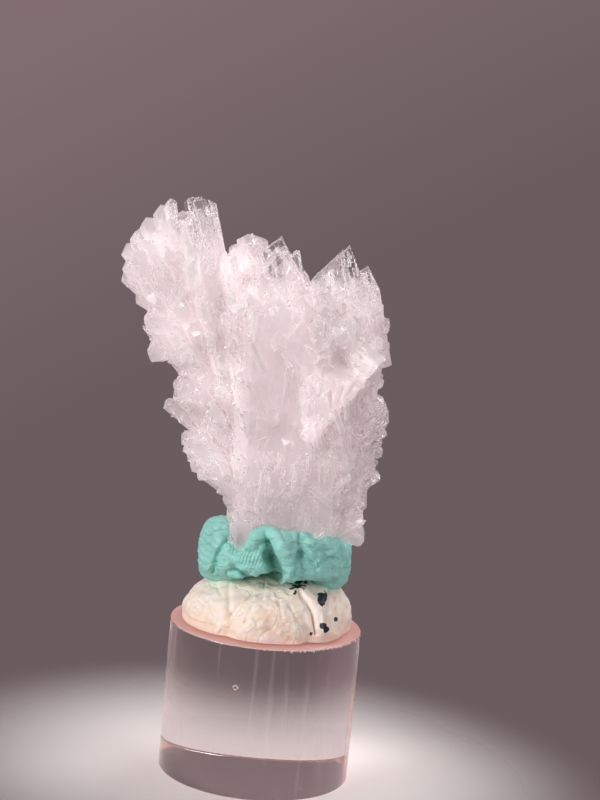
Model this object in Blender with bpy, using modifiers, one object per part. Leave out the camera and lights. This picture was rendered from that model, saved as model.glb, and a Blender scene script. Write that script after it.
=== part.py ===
"""Creedite specimen: a crystal cluster bedded in mineral tack, on a putty mound and an acrylic cylinder.

+Z runs up the cylinder, the front faces -Y, and the origin is the middle of the cylinder's lower face.
The tables and functions work in millimetres, and every mesh is brought to metres when it is stored.
"""
import math

import bmesh
import bpy
import numpy as np
from mathutils import Matrix, Vector

MM = 0.001
GAP = 0.3

# Cylinder, millimetres
CYLINDER_DIAMETER = 25.0
CYLINDER_HEIGHT = 20.0
CYLINDER_EDGE = 0.25
CYLINDER_SIDES = 56
# Least turn between two faces that gets the edge break, and the most that is shaded smooth
BREAK_ANGLE = math.radians(40)
SMOOTH_ANGLE = math.radians(30)

# Putty mound, millimetres: a low dome, steeper on its right
PUTTY_RADIUS = 11.15
PUTTY_HEIGHT = 6.4
PUTTY_POWER = 0.77
PUTTY_LEAN = 0.16
PUTTY_SEGMENTS = 60
PUTTY_RINGS = 16
# Lobes and creases of its side: heading in degrees (270 is the front), half spread, share of the radius
PUTTY_FOLDS = [
    (214, 18, 0.020),
    (244, 5, -0.045),
    (268, 14, 0.015),
    (301, 5, -0.060),
    (316, 7, 0.015),
    (341, 8, -0.025),
    (18, 14, 0.020),
    (55, 6, -0.040),
    (92, 16, 0.020),
    (128, 6, -0.045),
    (160, 12, 0.015),
]

# Mineral tack, millimetres: a thick folded band pressed round the foot of the crystals
TACK_CENTRE_X = 0.35
TACK_HALF_WIDTH = 9.9
TACK_HALF_DEPTH = 8.9
TACK_TOP = 33.6
TACK_BOTTOM = 24.6
TACK_FRONT_LIFT = 2.9
TACK_LIFT_POWER = 1.2
TACK_LEVEL_POWER = 0.32
TACK_HEIGHT_POWER = 0.45
TACK_SEGMENTS = 72
TACK_RINGS = 18
# Swellings and creases of its side: heading in degrees (270 is the front), half spread, share of the radius,
# and how far the fold's heading shifts from half height to the top
TACK_FOLDS = [
    (196, 14, 0.030, 0),
    (221, 4, -0.040, 10),
    (245, 10, 0.020, 0),
    (266, 4.5, -0.100, -5.5),
    (279, 7, 0.075, -8.5),
    (291, 3, -0.045, 2),
    (310, 15, 0.045, 0),
    (340, 8, -0.030, 0),
    (20, 18, 0.035, 0),
    (62, 7, -0.055, 4),
    (90, 16, 0.040, 0),
    (128, 8, -0.050, -4),
    (155, 14, 0.030, 0),
]
# Rises and dips of its upper rim: heading, half spread, height
TACK_RIM = [
    (207, 11, 1.15),
    (226, 5, -0.9),
    (237, 9.5, -2.75),
    (262, 12, 0.6),
    (288, 20, 0.9),
    (316, 11, 0.45),
    (350, 10, -1.0),
    (40, 20, -1.0),
    (100, 16, 0.3),
    (150, 14, -0.8),
]

# Crystals: tip x, y, z | lean to the right, pitch to the front, roll, degrees | width, thickness, length,
# share of its width left at the root | place of the ridge, slope of the left and of the right tip face
BLOCKS = [
    ("root", (0.9, 0.0, 34.5, 0, 0, 0, 13.5, 9.0, 5.5, 0.85, 0.00, 0.10, 0.10)),
    ("trunk", (2.7, 0.0, 60.0, 2, 0, 0, 18.0, 13.5, 28.4, 0.90, 0.00, 0.50, 0.50)),
    ("front_rib", (-2.0, -5.8, 63.2, -1, 5, 4, 9.0, 5.2, 29, 0.70, 0.10, 0.50, 0.70)),
    ("back_rib", (-1.5, 6.0, 62.0, -2, -6, -6, 13.0, 5.5, 28, 0.70, -0.10, 0.70, 0.70)),
    ("front_left", (-6.2, -4.6, 63.6, -13, 6, 10, 6.4, 5.0, 27, 0.70, 0.10, 0.80, 0.90)),
    ("front_right", (1.2, -4.2, 64.2, -5, 5, -8, 6.0, 5.0, 26, 0.75, 0.20, 0.80, 1.60)),
    ("back_left", (-7.4, 4.8, 64.8, -14, -6, 8, 6.6, 5.0, 28, 0.70, 0.00, 0.70, 0.90)),
    ("back_middle", (2.4, 4.6, 64.0, -2, -6, -10, 6.6, 5.0, 28, 0.75, 0.15, 0.80, 1.30)),
    ("back_side", (8.2, 4.2, 59.6, 4, -6, 6, 5.6, 5.0, 24, 0.75, 0.10, 0.70, 1.20)),
    ("wing_crest", (-14.0, -0.5, 72.8, -18, 0, 6, 6.6, 7.5, 38, 0.74, 0.05, 0.40, 0.50)),
    ("wing_top", (-16.2, 0.5, 72.0, -24, 0, -8, 6.8, 8.0, 37, 0.66, 0.10, 0.60, 0.50)),
    ("wing_left", (-20.4, -0.4, 68.6, -33, 3, 6, 7.2, 8.5, 34, 0.62, 0.05, 0.60, 0.60)),
    ("wing_low", (-18.0, -1.0, 59.6, -40, 4, -6, 6.2, 8.0, 26, 0.60, -0.10, 0.60, 0.70)),
    ("left_mid", (-13.4, -1.0, 51.8, -40, 4, 8, 5.8, 8.0, 20, 0.76, 0.05, 0.60, 0.70)),
    ("left_low", (-11.8, -1.0, 45.2, -44, 4, -8, 5.4, 8.5, 15, 0.80, 0.00, 0.60, 0.60)),
    ("lobe", (-9.9, -1.2, 40.8, -54, 4, 6, 3.8, 7.5, 10, 0.80, 0.00, 0.60, 0.60)),
    ("knob", (-6.6, 3.0, 69.0, -12, -4, -10, 6.4, 6.5, 34, 0.70, 0.00, 0.35, 0.45)),
    ("centre", (-2.6, -1.4, 69.2, -13, 2, 4, 7.6, 7.5, 36, 0.75, 0.24, 0.90, 1.90)),
    ("right_peak", (5.5, -0.6, 69.2, -5, 2, 0, 7.6, 7.5, 34, 0.75, 0.24, 0.95, 3.00)),
    ("right_side", (8.5, 0.4, 66.2, -4, 0, 8, 6.4, 8.0, 30, 0.80, 0.24, 0.75, 2.20)),
    ("barb_block", (10.5, 0.6, 58.6, 4, 0, -6, 4.8, 8.0, 24, 0.80, 0.15, 0.70, 1.20)),
    ("back_right", (11.7, 3.0, 51.0, 24, -8, 6, 6.6, 7.5, 18, 0.70, 0.00, 0.70, 0.80)),
    ("back_low", (11.7, 2.4, 43.6, 42, -8, -8, 6.8, 8.0, 14, 0.80, 0.00, 0.60, 0.70)),
    ("right_low", (11.0, 0.6, 36.6, 66, 0, 6, 5.0, 8.0, 9, 0.85, 0.00, 0.50, 0.50)),
    ("flap_tip", (3.4, -8.5, 46.0, 177, 7, 4, 5.4, 3.2, 14, 0.90, 0.24, 1.30, 0.40)),
    ("flap_mid", (8.3, -8.2, 52.0, 128, 7, -5, 5.4, 3.2, 11, 0.90, 0.00, 0.12, 0.15)),
    ("flap_side", (10.6, -7.0, 55.2, 126, 8, 5, 4.4, 3.4, 10, 0.90, 0.05, 0.15, 0.20)),
    ("flap_top", (7.0, -6.0, 62.0, -4, 8, 10, 6.8, 4.5, 20, 0.80, 0.20, 0.70, 1.20)),
]
EDGES = [
    ("crest", (-13.0, -0.9, 74.7, -17, 0, 8, 3.6, 2.8, 14, 0.85, 0.05, 0.30, 0.75)),
    ("crest_side", (-14.6, 0.5, 74.3, -16, 0, -10, 3.0, 2.6, 14, 0.85, -0.20, 0.60, 0.30)),
    ("crest_edge", (-12.4, 0.3, 73.6, -13, 0, 20, 1.9, 2.4, 12, 0.85, 0.05, 0.40, 0.60)),
    ("hook", (-16.9, 0.0, 74.0, -14, 4, 15, 1.7, 1.6, 10, 0.85, 0.15, 0.80, 0.60)),
    ("hook_side", (-18.3, 1.0, 73.0, -24, 0, 0, 2.2, 2.0, 12, 0.85, 0.10, 0.70, 0.60)),
    ("shoulder_1", (-19.7, -1.0, 71.4, -28, 3, 10, 2.6, 2.2, 12, 0.85, 0.05, 0.60, 0.50)),
    ("shoulder_2", (-20.9, 0.5, 69.6, -34, 0, -12, 2.8, 2.6, 12, 0.85, 0.10, 0.50, 0.50)),
    ("shoulder_3", (-21.95, -1.2, 67.8, -42, 4, 6, 2.8, 2.8, 12, 0.85, 0.00, 0.45, 0.50)),
    ("shoulder_4", (-22.1, 0.0, 64.3, -52, 0, 0, 2.6, 2.6, 12, 0.85, 0.00, 0.50, 0.60)),
    ("shoulder_5", (-20.2, -1.0, 61.8, -62, 5, 12, 2.3, 2.4, 10, 0.85, 0.05, 0.50, 0.70)),
    ("heel_1", (-17.4, -2.0, 53.5, -166, -4, 0, 2.6, 2.8, 10, 0.90, 0.10, 0.50, 0.80)),
    ("heel_2", (-16.1, -0.6, 53.3, -172, 0, 15, 2.4, 2.4, 9, 0.90, 0.00, 0.60, 0.80)),
    ("wing_edge", (-18.4, -1.2, 57.6, -150, 0, 6, 2.4, 2.8, 10, 0.90, 0.00, 0.50, 0.60)),
    ("inner", (-14.6, -1.0, 50.8, -74, 0, 0, 2.6, 2.8, 8, 0.85, 0.00, 0.60, 0.60)),
    ("spur", (-15.3, -2.5, 48.5, -54, 6, 0, 1.8, 1.5, 8, 0.95, 0.05, 0.40, 0.60)),
    ("bump", (-12.9, -1.5, 44.2, -62, 4, 10, 2.4, 2.4, 8, 0.85, 0.00, 0.50, 0.50)),
    ("lobe_side", (-11.2, -2.0, 39.8, -140, 0, 0, 2.6, 2.8, 8, 0.90, 0.00, 0.60, 0.60)),
    ("lobe_foot", (-10.0, -2.8, 38.7, -160, 5, 10, 2.4, 2.6, 8, 0.90, 0.10, 0.50, 0.80)),
    ("neck", (-7.0, -1.0, 36.2, -96, 0, 8, 2.4, 3.0, 6, 0.90, 0.00, 0.40, 0.40)),
    ("knob_top", (-7.0, 3.2, 70.1, -14, -6, 8, 3.0, 3.0, 12, 0.85, 0.00, 0.35, 0.35)),
    ("knob_right", (-5.5, 3.6, 69.8, -10, -4, -10, 2.6, 2.8, 12, 0.85, 0.05, 0.30, 0.50)),
    ("knob_left", (-8.5, 2.8, 68.7, -20, -4, 20, 2.2, 2.6, 11, 0.85, -0.05, 0.60, 0.40)),
    ("wedge", (-2.5, -1.6, 70.6, -23, 2, 0, 4.6, 2.8, 16, 0.90, 0.24, 0.35, 6.00)),
    ("wedge_tooth", (-0.35, -0.3, 69.0, -12, 0, 25, 1.8, 1.3, 10, 0.90, 0.24, 0.70, 6.00)),
    ("valley_1", (0.8, 1.2, 66.3, -16, 0, 10, 1.5, 1.5, 8, 0.90, 0.24, 0.90, 2.00)),
    ("valley_2", (1.9, -1.0, 65.6, -18, 0, -10, 1.5, 1.4, 8, 0.90, 0.24, 0.90, 2.00)),
    ("right_tooth", (3.0, -1.5, 66.9, -18, 0, 5, 2.0, 1.8, 10, 0.90, 0.24, 0.90, 2.00)),
    ("right_wedge", (6.2, -0.8, 70.2, -19, 2, 0, 4.8, 2.6, 15, 0.90, 0.24, 0.64, 8.00)),
    ("right_fold", (5.0, 1.5, 68.8, -17, -3, 12, 3.0, 2.2, 12, 0.90, 0.24, 0.90, 2.20)),
    ("side_wedge", (8.8, 0.2, 67.7, -15, 0, 0, 3.8, 2.6, 13, 0.95, 0.24, 0.40, 3.20)),
    ("side_step", (10.3, 1.0, 63.4, -12, 0, 10, 2.0, 2.0, 8, 0.90, 0.20, 0.90, 1.50)),
    ("barb", (12.1, 0.3, 61.3, 14, 0, 0, 1.8, 1.6, 6.5, 0.90, 0.24, 0.60, 1.80)),
    ("barb_low", (12.0, -1.0, 57.4, 26, 3, 0, 2.0, 2.2, 7, 0.90, 0.10, 0.50, 0.80)),
    ("edge_1", (12.2, 3.0, 53.0, 62, -6, 0, 2.2, 2.2, 9, 0.90, 0.05, 0.60, 0.60)),
    ("edge_2", (13.0, 2.6, 49.6, 76, -4, 10, 2.0, 2.0, 9, 0.90, -0.10, 0.80, 0.80)),
    ("edge_3", (13.4, 2.2, 46.0, 96, 0, 0, 2.0, 2.0, 9, 0.90, -0.20, 0.60, 0.90)),
    ("edge_4", (13.1, 3.0, 43.2, 110, 0, 12, 2.0, 2.0, 9, 0.90, -0.15, 0.50, 0.90)),
    ("edge_5", (13.0, 2.0, 39.9, 122, 0, 0, 1.8, 1.8, 8, 0.90, -0.15, 0.50, 0.90)),
    ("edge_6", (11.4, 1.0, 38.0, 110, 0, 10, 2.0, 2.2, 8, 0.90, 0.00, 0.60, 0.60)),
    ("edge_7", (11.4, -0.5, 34.9, 92, 0, 0, 2.4, 2.6, 7, 0.90, 0.00, 0.35, 0.35)),
    ("edge_8", (11.7, -0.6, 32.7, 97, 0, 12, 3.0, 2.4, 5, 0.90, 0.00, 0.35, 0.35)),
    ("notch_foot", (-3.6, -5.0, 36.0, 0, 0, 0, 4.6, 3.0, 6.5, 0.85, 0.00, 0.30, 0.30)),
]
# Crystals that cover the front and the back faces of the blocks
COVER_SEED = 5
COVER_TRIES = 1000
COVER_SPACING = 1.2
COVER_WIDTH = (1.8, 3.1)
COVER_STICK = (0.14, 0.32)
COVER_TILT = (0.30, 0.75)
COVER_TAPER = 0.55
COVER_LOWEST = 36.5
COVER_LOW = 0.22
COVER_SLENDERNESS = (1.6, 3.2)
COVER_UNREST = 0.22
COVER_BURIED = 0.25
COVER_FACING = 0.5
COVER_OVERHANG = 0.2
COVER_ROOT_OVERHANG = 0.0
COVER_DEPTH = 10.0
# Least and most of their roll in degrees, thickness over width, place of the ridge and slopes of the tip faces
COVER_SHAPES = [(-90, 90), (0.5, 0.85), (-0.24, 0.24), (0.4, 1.0), (0.5, 1.8)]
# How far a prism runs past its tip before the tip is cut, as a share of its length
CRYSTAL_PAST = 1.3
# Turn that puts two corners of the hexagon on its width
HEXAGON_TURN = math.radians(30)
# How near to a cutting plane a corner counts as lying on it, millimetres
ON_PLANE = 1e-5

# The six corners of a crystal's section, as shares of its width and thickness
CORNER_U = np.array([-0.5, -0.25, 0.25, 0.5, 0.25, -0.25])
CORNER_V = np.array([0.0, -0.5, -0.5, 0.0, 0.5, 0.5])
# Share of the covering crystals that grow on each of the six side faces
FACE_SHARE = np.array([0.12, 0.26, 0.12, 0.12, 0.26, 0.12])

# Extra room in the tack round a crystal and over the putty, millimetres
POCKET_EXTRA = 0.1
SEAT_EXTRA = 0.05
# Corners nearer than this are merged, metres
MERGE = 2e-6

COLOURS = {
    "crystal": ((0.90, 0.86, 0.87, 1.0), 0.12),
    "tack": ((0.25, 0.60, 0.52, 1.0), 0.55),
    "putty": ((0.90, 0.82, 0.72, 1.0), 0.60),
    "acrylic": ((0.80, 0.74, 0.75, 1.0), 0.05),
}


def table(entries):
    """The numbers of a table of crystals, one row each."""
    return np.array([numbers for _, numbers in entries], dtype=float)


def crystal_axes(rows):
    """Length, width and thickness directions from lean, pitch and roll."""
    lean, pitch, roll = np.radians(rows[:, 3:6]).T
    along = np.stack([np.sin(lean) * np.cos(pitch), -np.sin(pitch), np.cos(lean) * np.cos(pitch)], -1)
    level = np.stack([np.cos(lean), 0 * lean, -np.sin(lean)], -1)
    depth = np.cross(along, level)
    wide = level * np.cos(roll)[:, None] + depth * np.sin(roll)[:, None]
    return along, wide, np.cross(along, wide)


def roots(rows, along, wide):
    """Middle of each crystal's root."""
    ridge = rows[:, 10] * rows[:, 6]
    return rows[:, 0:3] - along * rows[:, 8:9] - wide * ridge[:, None]


def tip_height(rows, across):
    """Height of the two tip faces above the root, at a place across the width."""
    ridge = rows[:, 10] * rows[:, 6]
    left = rows[:, 8] - rows[:, 11] * (ridge - across)
    right = rows[:, 8] - rows[:, 12] * (across - ridge)
    return np.where(across < ridge, left, right)


def points_on_sides(rows, count, rng):
    """Random points on the crystals' side faces, with the outward normal and the growth direction."""
    along, wide, thick = crystal_axes(rows)
    area = (rows[:, 6] + rows[:, 7]) * rows[:, 8]
    owner = rng.choice(len(rows), count, p=area / area.sum())
    one = rng.choice(6, count, p=FACE_SHARE)
    two = (one + 1) % 6
    part = rng.uniform(0, 1, count)
    height = rng.uniform(COVER_LOW, 1, count) * rows[owner, 8]
    across = (CORNER_U[one] * (1 - part) + CORNER_U[two] * part) * rows[owner, 6]
    through = (CORNER_V[one] * (1 - part) + CORNER_V[two] * part) * rows[owner, 7]
    height = np.minimum(height, tip_height(rows[owner], across))
    swell = rows[owner, 9] + (1 - rows[owner, 9]) * height / rows[owner, 8]
    place = roots(rows, along, wide)[owner] + along[owner] * height[:, None]
    place += wide[owner] * (across * swell)[:, None] + thick[owner] * (through * swell)[:, None]
    normal = wide[owner] * (CORNER_U[one] + CORNER_U[two])[:, None]
    normal = normal + thick[owner] * ((CORNER_V[one] + CORNER_V[two]) / rows[owner, 7] * rows[owner, 6])[:, None]
    normal /= np.linalg.norm(normal, axis=1)[:, None]
    return place, normal, along[owner], owner


def local_places(points, rows):
    """Each point in each crystal's own terms: height, place across, place through, and swelling."""
    along, wide, thick = crystal_axes(rows)
    apart = points[:, None] - roots(rows, along, wide)[None]
    height = (apart * along).sum(-1)
    swell = rows[:, 9] + (1 - rows[:, 9]) * height / rows[:, 8]
    return height, (apart * wide).sum(-1), (apart * thick).sum(-1), swell


def buried(points, rows, owner, depth):
    """True where a point lies deeper than depth in a crystal other than its owner."""
    height, across, through, swell = local_places(points, rows)
    half = rows[:, 6] / 2 * swell - depth
    thin = rows[:, 7] / 2 * swell - depth
    within = (np.abs(through) < thin) & (height > depth) & (height < tip_height(rows, across) - depth)
    within &= np.abs(across) + np.abs(through) * (0.5 * half / thin) < half
    within[np.arange(len(points)), owner] = False
    return within.any(1)


def seen_over(points, rows, margin):
    """True where a point, looked at from the front, lies over a crystal or within margin of one."""
    height, across, _, swell = local_places(points, rows)
    over = (np.abs(across) < rows[:, 6] / 2 * swell + margin) & (height > -margin)
    return (over & (height < tip_height(rows, across) + margin)).any(1)


def outline_over(found, rows):
    """True where a crystal's tip, shoulders and foot lie over the blocks, looked at from the front."""
    along, wide, _ = crystal_axes(found)
    half = found[:, 6:7] / 2
    shoulder = found[:, 0:3] - along * half
    root = roots(found, along, wide)
    over = seen_over(found[:, 0:3], rows, COVER_OVERHANG)
    for side in (-half, half):
        over &= seen_over(shoulder + wide * side, rows, COVER_OVERHANG)
        over &= seen_over(root + wide * side * COVER_TAPER, rows, COVER_ROOT_OVERHANG)
    return over


def spread(points, spacing):
    """Indices of the points that keep their spacing to those kept before them."""
    kept = []
    for index, point in enumerate(points):
        if not kept or (np.linalg.norm(points[kept] - point, axis=1) > spacing[index]).all():
            kept.append(index)
    return np.array(kept)


def covering_rows(rows, seed, tries, spacing, widths, stick, tilt, lowest):
    """Rows for smaller crystals that grow out of the blocks' front and back faces."""
    rng = np.random.default_rng(seed)
    place, normal, growth, owner = points_on_sides(rows, tries, rng)
    width = rng.uniform(*widths, tries)
    length = width * rng.uniform(*COVER_SLENDERNESS, tries)
    heading = growth + normal * rng.uniform(*tilt, tries)[:, None]
    heading = heading + rng.normal(0, COVER_UNREST, (tries, 3))
    heading /= np.linalg.norm(heading, axis=1)[:, None]
    tip = place + heading * (length * rng.uniform(*stick, tries))[:, None]
    lean = np.degrees(np.arctan2(heading[:, 0], heading[:, 2]))
    pitch = np.degrees(np.arcsin(-heading[:, 1]))
    roll, flat, ridge, left, right = (rng.uniform(low, high, tries) for low, high in COVER_SHAPES)
    taper = np.full(tries, COVER_TAPER)
    found = np.stack([*tip.T, lean, pitch, roll, width, width * flat, length, taper, ridge, left, right], -1)
    fit = ~buried(place, rows, owner, COVER_BURIED) & (tip[:, 2] > lowest)
    fit &= (np.abs(normal[:, 1]) > COVER_FACING) & (np.abs(tip[:, 1]) < COVER_DEPTH)
    found = found[fit]
    found = found[outline_over(found, rows)]
    return found[spread(found[:, 0:3], spacing * found[:, 6])]


def store(bm, name, collection):
    """A new object from a bmesh in millimetres."""
    bmesh.ops.recalc_face_normals(bm, faces=bm.faces[:])
    bm.transform(Matrix.Scale(MM, 4))
    mesh = bpy.data.meshes.new(name)
    bm.to_mesh(mesh)
    bm.free()
    piece = bpy.data.objects.new(name, mesh)
    collection.objects.link(piece)
    return piece


def crystal(name, row, collection, grow=0.0):
    """A flattened six-sided prism, narrower at its root, cut to a chisel tip by two planes.

    With grow it is made larger by that much all round, for the pocket that it sits in.
    """
    width, thickness, length, taper, ridge_share, left, right = row[6:13]
    ridge = ridge_share * width
    past = CRYSTAL_PAST * length
    flare = taper + (1 - taper) * past / length
    along, wide, thick = (Vector(axis[0]) for axis in crystal_axes(row[None]))
    root = Vector(row[0:3]) - along * length - wide * ridge
    section = Matrix.Diagonal((width + 2 * grow, (thickness + 2 * grow) / math.cos(HEXAGON_TURN), 1, 1))
    lift = Matrix.Translation((0, 0, past / 2))
    bm = bmesh.new()
    bmesh.ops.create_cone(
        bm, cap_ends=True, segments=6, radius1=taper / 2, radius2=flare / 2, depth=past,
        matrix=lift @ section @ Matrix.Rotation(HEXAGON_TURN, 4, "Z"))
    for slope, side in ((left, -1), (right, 1)):
        bmesh.ops.bisect_plane(
            bm, geom=bm.verts[:] + bm.edges[:] + bm.faces[:], dist=ON_PLANE, clear_outer=True,
            plane_co=(ridge, 0, length + grow), plane_no=Vector((side * slope, 0, 1)).normalized())
        bmesh.ops.holes_fill(bm, edges=[edge for edge in bm.edges if edge.is_boundary])
    turn = Matrix((wide, thick, along)).transposed().to_4x4()
    bm.transform(Matrix.Translation(root - along * grow) @ turn)
    return store(bm, name, collection)


def boolean(piece, operation, cutters):
    """Join a collection of cutters to the piece, or cut them from it, and keep the largest closed shell."""
    step = piece.modifiers.new(operation.lower(), "BOOLEAN")
    step.operation = operation
    step.operand_type = "COLLECTION"
    step.collection = cutters
    step.solver = "EXACT"
    bpy.context.view_layer.update()
    result = bpy.data.meshes.new_from_object(piece.evaluated_get(bpy.context.evaluated_depsgraph_get()))
    piece.modifiers.clear()
    piece.data = result
    bm = bmesh.new()
    bm.from_mesh(result)
    bmesh.ops.remove_doubles(bm, verts=bm.verts[:], dist=MERGE)
    bmesh.ops.dissolve_degenerate(bm, edges=bm.edges[:], dist=MERGE)
    shells = find_shells(bm)
    largest = max(shells, key=lambda shell: sum(face.calc_area() for face in shell))
    loose = [face for shell in shells if shell is not largest for face in shell]
    bmesh.ops.delete(bm, geom=loose, context="FACES")
    bmesh.ops.delete(bm, geom=[vert for vert in bm.verts if not vert.link_faces], context="VERTS")
    bm.to_mesh(result)
    bm.free()


def find_shells(bm):
    """Lists of faces that hang together by their edges."""
    left = set(bm.faces)
    shells = []
    while left:
        start = left.pop()
        shell = [start]
        queue = [start]
        while queue:
            for edge in queue.pop().edges:
                for face in edge.link_faces:
                    if face in left:
                        left.discard(face)
                        shell.append(face)
                        queue.append(face)
        shells.append(shell)
    return shells


def bumps(heading, entries):
    """Sum of smooth bumps round the axis, at a heading in degrees."""
    total = 0.0
    for middle, half, size in entries:
        apart = (heading - middle + 180) % 360 - 180
        total += size * math.exp(-(apart / half) ** 2)
    return total


def power(value, exponent):
    """A power that keeps the sign."""
    return math.copysign(abs(value) ** exponent, value)


def ball(segments, rings):
    """A unit ball, in which a formula then moves every vertex."""
    bm = bmesh.new()
    bmesh.ops.create_uvsphere(bm, u_segments=segments, v_segments=rings, radius=1)
    return bm


def putty_shape(bm, grow=0.0):
    """Squared-off dome with lobes and creases, from a unit ball."""
    foot = CYLINDER_HEIGHT + GAP
    for vert in bm.verts:
        heading = math.atan2(vert.co.y, vert.co.x)
        level = math.hypot(vert.co.x, vert.co.y)
        fold = 1 + bumps(math.degrees(heading), PUTTY_FOLDS) * level ** 2
        lean = 1 + PUTTY_LEAN * level * math.cos(heading)
        reach = (PUTTY_RADIUS + grow) * power(level, PUTTY_POWER) * fold
        rise = (PUTTY_HEIGHT * lean + grow) * power(vert.co.z, PUTTY_POWER)
        vert.co = (reach * math.cos(heading), reach * math.sin(heading), foot + rise)


def tack_shape(bm):
    """Boxy ring form with swellings, creases and an uneven rim, from a unit ball."""
    for vert in bm.verts:
        heading = math.atan2(vert.co.y, vert.co.x)
        degrees = math.degrees(heading)
        level = math.hypot(vert.co.x, vert.co.y) ** TACK_LEVEL_POWER
        height = power(vert.co.z, TACK_HEIGHT_POWER)
        folds = [(middle + shift * height, half, size) for middle, half, size, shift in TACK_FOLDS]
        side = level * (1 + bumps(degrees, folds) * level ** 2)
        top = TACK_TOP + bumps(degrees, TACK_RIM) * level
        bottom = TACK_BOTTOM + TACK_FRONT_LIFT * max(0.0, -math.sin(heading)) ** TACK_LIFT_POWER
        vert.co = (
            TACK_CENTRE_X + TACK_HALF_WIDTH * side * math.cos(heading),
            TACK_HALF_DEPTH * side * math.sin(heading),
            (top + bottom) / 2 + (top - bottom) / 2 * height)


def make_material(name):
    """Principled material with the piece's own colour and roughness."""
    colour, roughness = COLOURS[name]
    material = bpy.data.materials.new(name)
    material.use_nodes = True
    shader = material.node_tree.nodes["Principled BSDF"]
    shader.inputs["Base Color"].default_value = colour
    shader.inputs["Roughness"].default_value = roughness
    shader.inputs["Metallic"].default_value = 0.0
    return material


def finish(piece, material):
    """Give a piece its material."""
    piece.data.materials.clear()
    piece.data.materials.append(make_material(material))


def new_collection(name):
    """A collection in the scene."""
    collection = bpy.data.collections.new(name)
    bpy.context.scene.collection.children.link(collection)
    return collection


def make_cluster(parts, cutters, rows):
    """Every crystal joined in one solid."""
    cluster = crystal("creedite_cluster", rows[1], parts)
    for index, row in enumerate(np.delete(rows, 1, axis=0)):
        crystal(f"crystal_{index:03d}", row, cutters)
    boolean(cluster, "UNION", cutters)
    finish(cluster, "crystal")


def make_tack(parts, cutters, rows):
    """The folded band, with a pocket for the crystals and a seat on the putty."""
    bm = ball(TACK_SEGMENTS, TACK_RINGS)
    tack_shape(bm)
    tack = store(bm, "turquoise_tack", parts)
    for index, row in enumerate(rows):
        crystal(f"pocket_{index:03d}", row, cutters, grow=GAP + POCKET_EXTRA)
    bm = ball(PUTTY_SEGMENTS, PUTTY_RINGS)
    putty_shape(bm, grow=GAP + SEAT_EXTRA)
    store(bm, "seat", cutters)
    boolean(tack, "DIFFERENCE", cutters)
    finish(tack, "tack")


def make_putty(parts):
    """The mound, cut flat where it lies on the cylinder."""
    bm = ball(PUTTY_SEGMENTS, PUTTY_RINGS)
    putty_shape(bm)
    bmesh.ops.bisect_plane(
        bm, geom=bm.verts[:] + bm.edges[:] + bm.faces[:], dist=ON_PLANE, clear_inner=True,
        plane_co=(0, 0, CYLINDER_HEIGHT + GAP), plane_no=(0, 0, 1))
    bmesh.ops.holes_fill(bm, edges=[edge for edge in bm.edges if edge.is_boundary])
    finish(store(bm, "white_putty", parts), "putty")


def make_cylinder(parts):
    """The clear stand with a fine edge break."""
    bpy.ops.mesh.primitive_cylinder_add(
        vertices=CYLINDER_SIDES, radius=CYLINDER_DIAMETER / 2 * MM, depth=CYLINDER_HEIGHT * MM,
        location=(0, 0, CYLINDER_HEIGHT / 2 * MM))
    cylinder = bpy.context.active_object
    cylinder.name = "acrylic_cylinder"
    for collection in list(cylinder.users_collection):
        collection.objects.unlink(cylinder)
    parts.objects.link(cylinder)
    bevel = cylinder.modifiers.new("edge", "BEVEL")
    bevel.width = CYLINDER_EDGE * MM
    bevel.segments = 1
    bevel.limit_method = "ANGLE"
    bevel.angle_limit = BREAK_ANGLE
    cylinder.data.shade_smooth()
    cylinder.data.set_sharp_from_angle(angle=SMOOTH_ANGLE)
    finish(cylinder, "acrylic")


def main():
    """Clear the scene and make the four pieces."""
    for old in list(bpy.data.objects):
        bpy.data.objects.remove(old, do_unlink=True)
    parts = new_collection("creedite_specimen")
    joined = new_collection("joined_crystals")
    pocket = new_collection("tack_pocket")
    blocks = table(BLOCKS)
    cover = covering_rows(
        blocks, COVER_SEED, COVER_TRIES, COVER_SPACING, COVER_WIDTH, COVER_STICK, COVER_TILT, COVER_LOWEST)
    rows = np.concatenate([blocks, table(EDGES), cover])
    make_cluster(parts, joined, rows)
    make_tack(parts, pocket, rows)
    make_putty(parts)
    make_cylinder(parts)
    for cutters in (joined, pocket):
        for cutter in cutters.objects:
            cutter.hide_render = True
            cutter.display_type = "WIRE"


main()
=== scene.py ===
"""Creedite specimen: finished surfaces for the crystals, the tack, the putty and the acrylic cylinder.

Sizes of the shapes are millimetres; put_mesh brings them to metres. Sizes of the finishes are metres.
+Z runs up the cylinder, the front faces -Y, and headings are degrees round +Z with the front at 270.
"""
import math
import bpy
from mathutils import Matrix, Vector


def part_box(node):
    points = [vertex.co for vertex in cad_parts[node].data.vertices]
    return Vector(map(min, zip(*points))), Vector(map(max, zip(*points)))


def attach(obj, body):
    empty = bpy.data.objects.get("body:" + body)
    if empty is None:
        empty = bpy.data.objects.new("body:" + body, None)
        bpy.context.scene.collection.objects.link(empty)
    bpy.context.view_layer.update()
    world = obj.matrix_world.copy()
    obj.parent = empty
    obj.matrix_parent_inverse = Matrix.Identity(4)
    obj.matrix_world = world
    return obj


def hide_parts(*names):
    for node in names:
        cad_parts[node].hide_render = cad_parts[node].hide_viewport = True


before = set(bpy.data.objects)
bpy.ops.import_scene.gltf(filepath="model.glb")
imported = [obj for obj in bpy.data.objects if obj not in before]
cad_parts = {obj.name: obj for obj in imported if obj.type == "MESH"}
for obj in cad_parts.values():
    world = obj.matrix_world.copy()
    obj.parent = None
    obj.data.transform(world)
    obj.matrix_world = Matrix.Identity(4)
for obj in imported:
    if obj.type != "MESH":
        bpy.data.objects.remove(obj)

from types import SimpleNamespace as Values

import bpy
import numpy as np
from bpy.props import FloatProperty, FloatVectorProperty, IntProperty, PointerProperty
from mathutils import Quaternion, Vector

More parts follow.
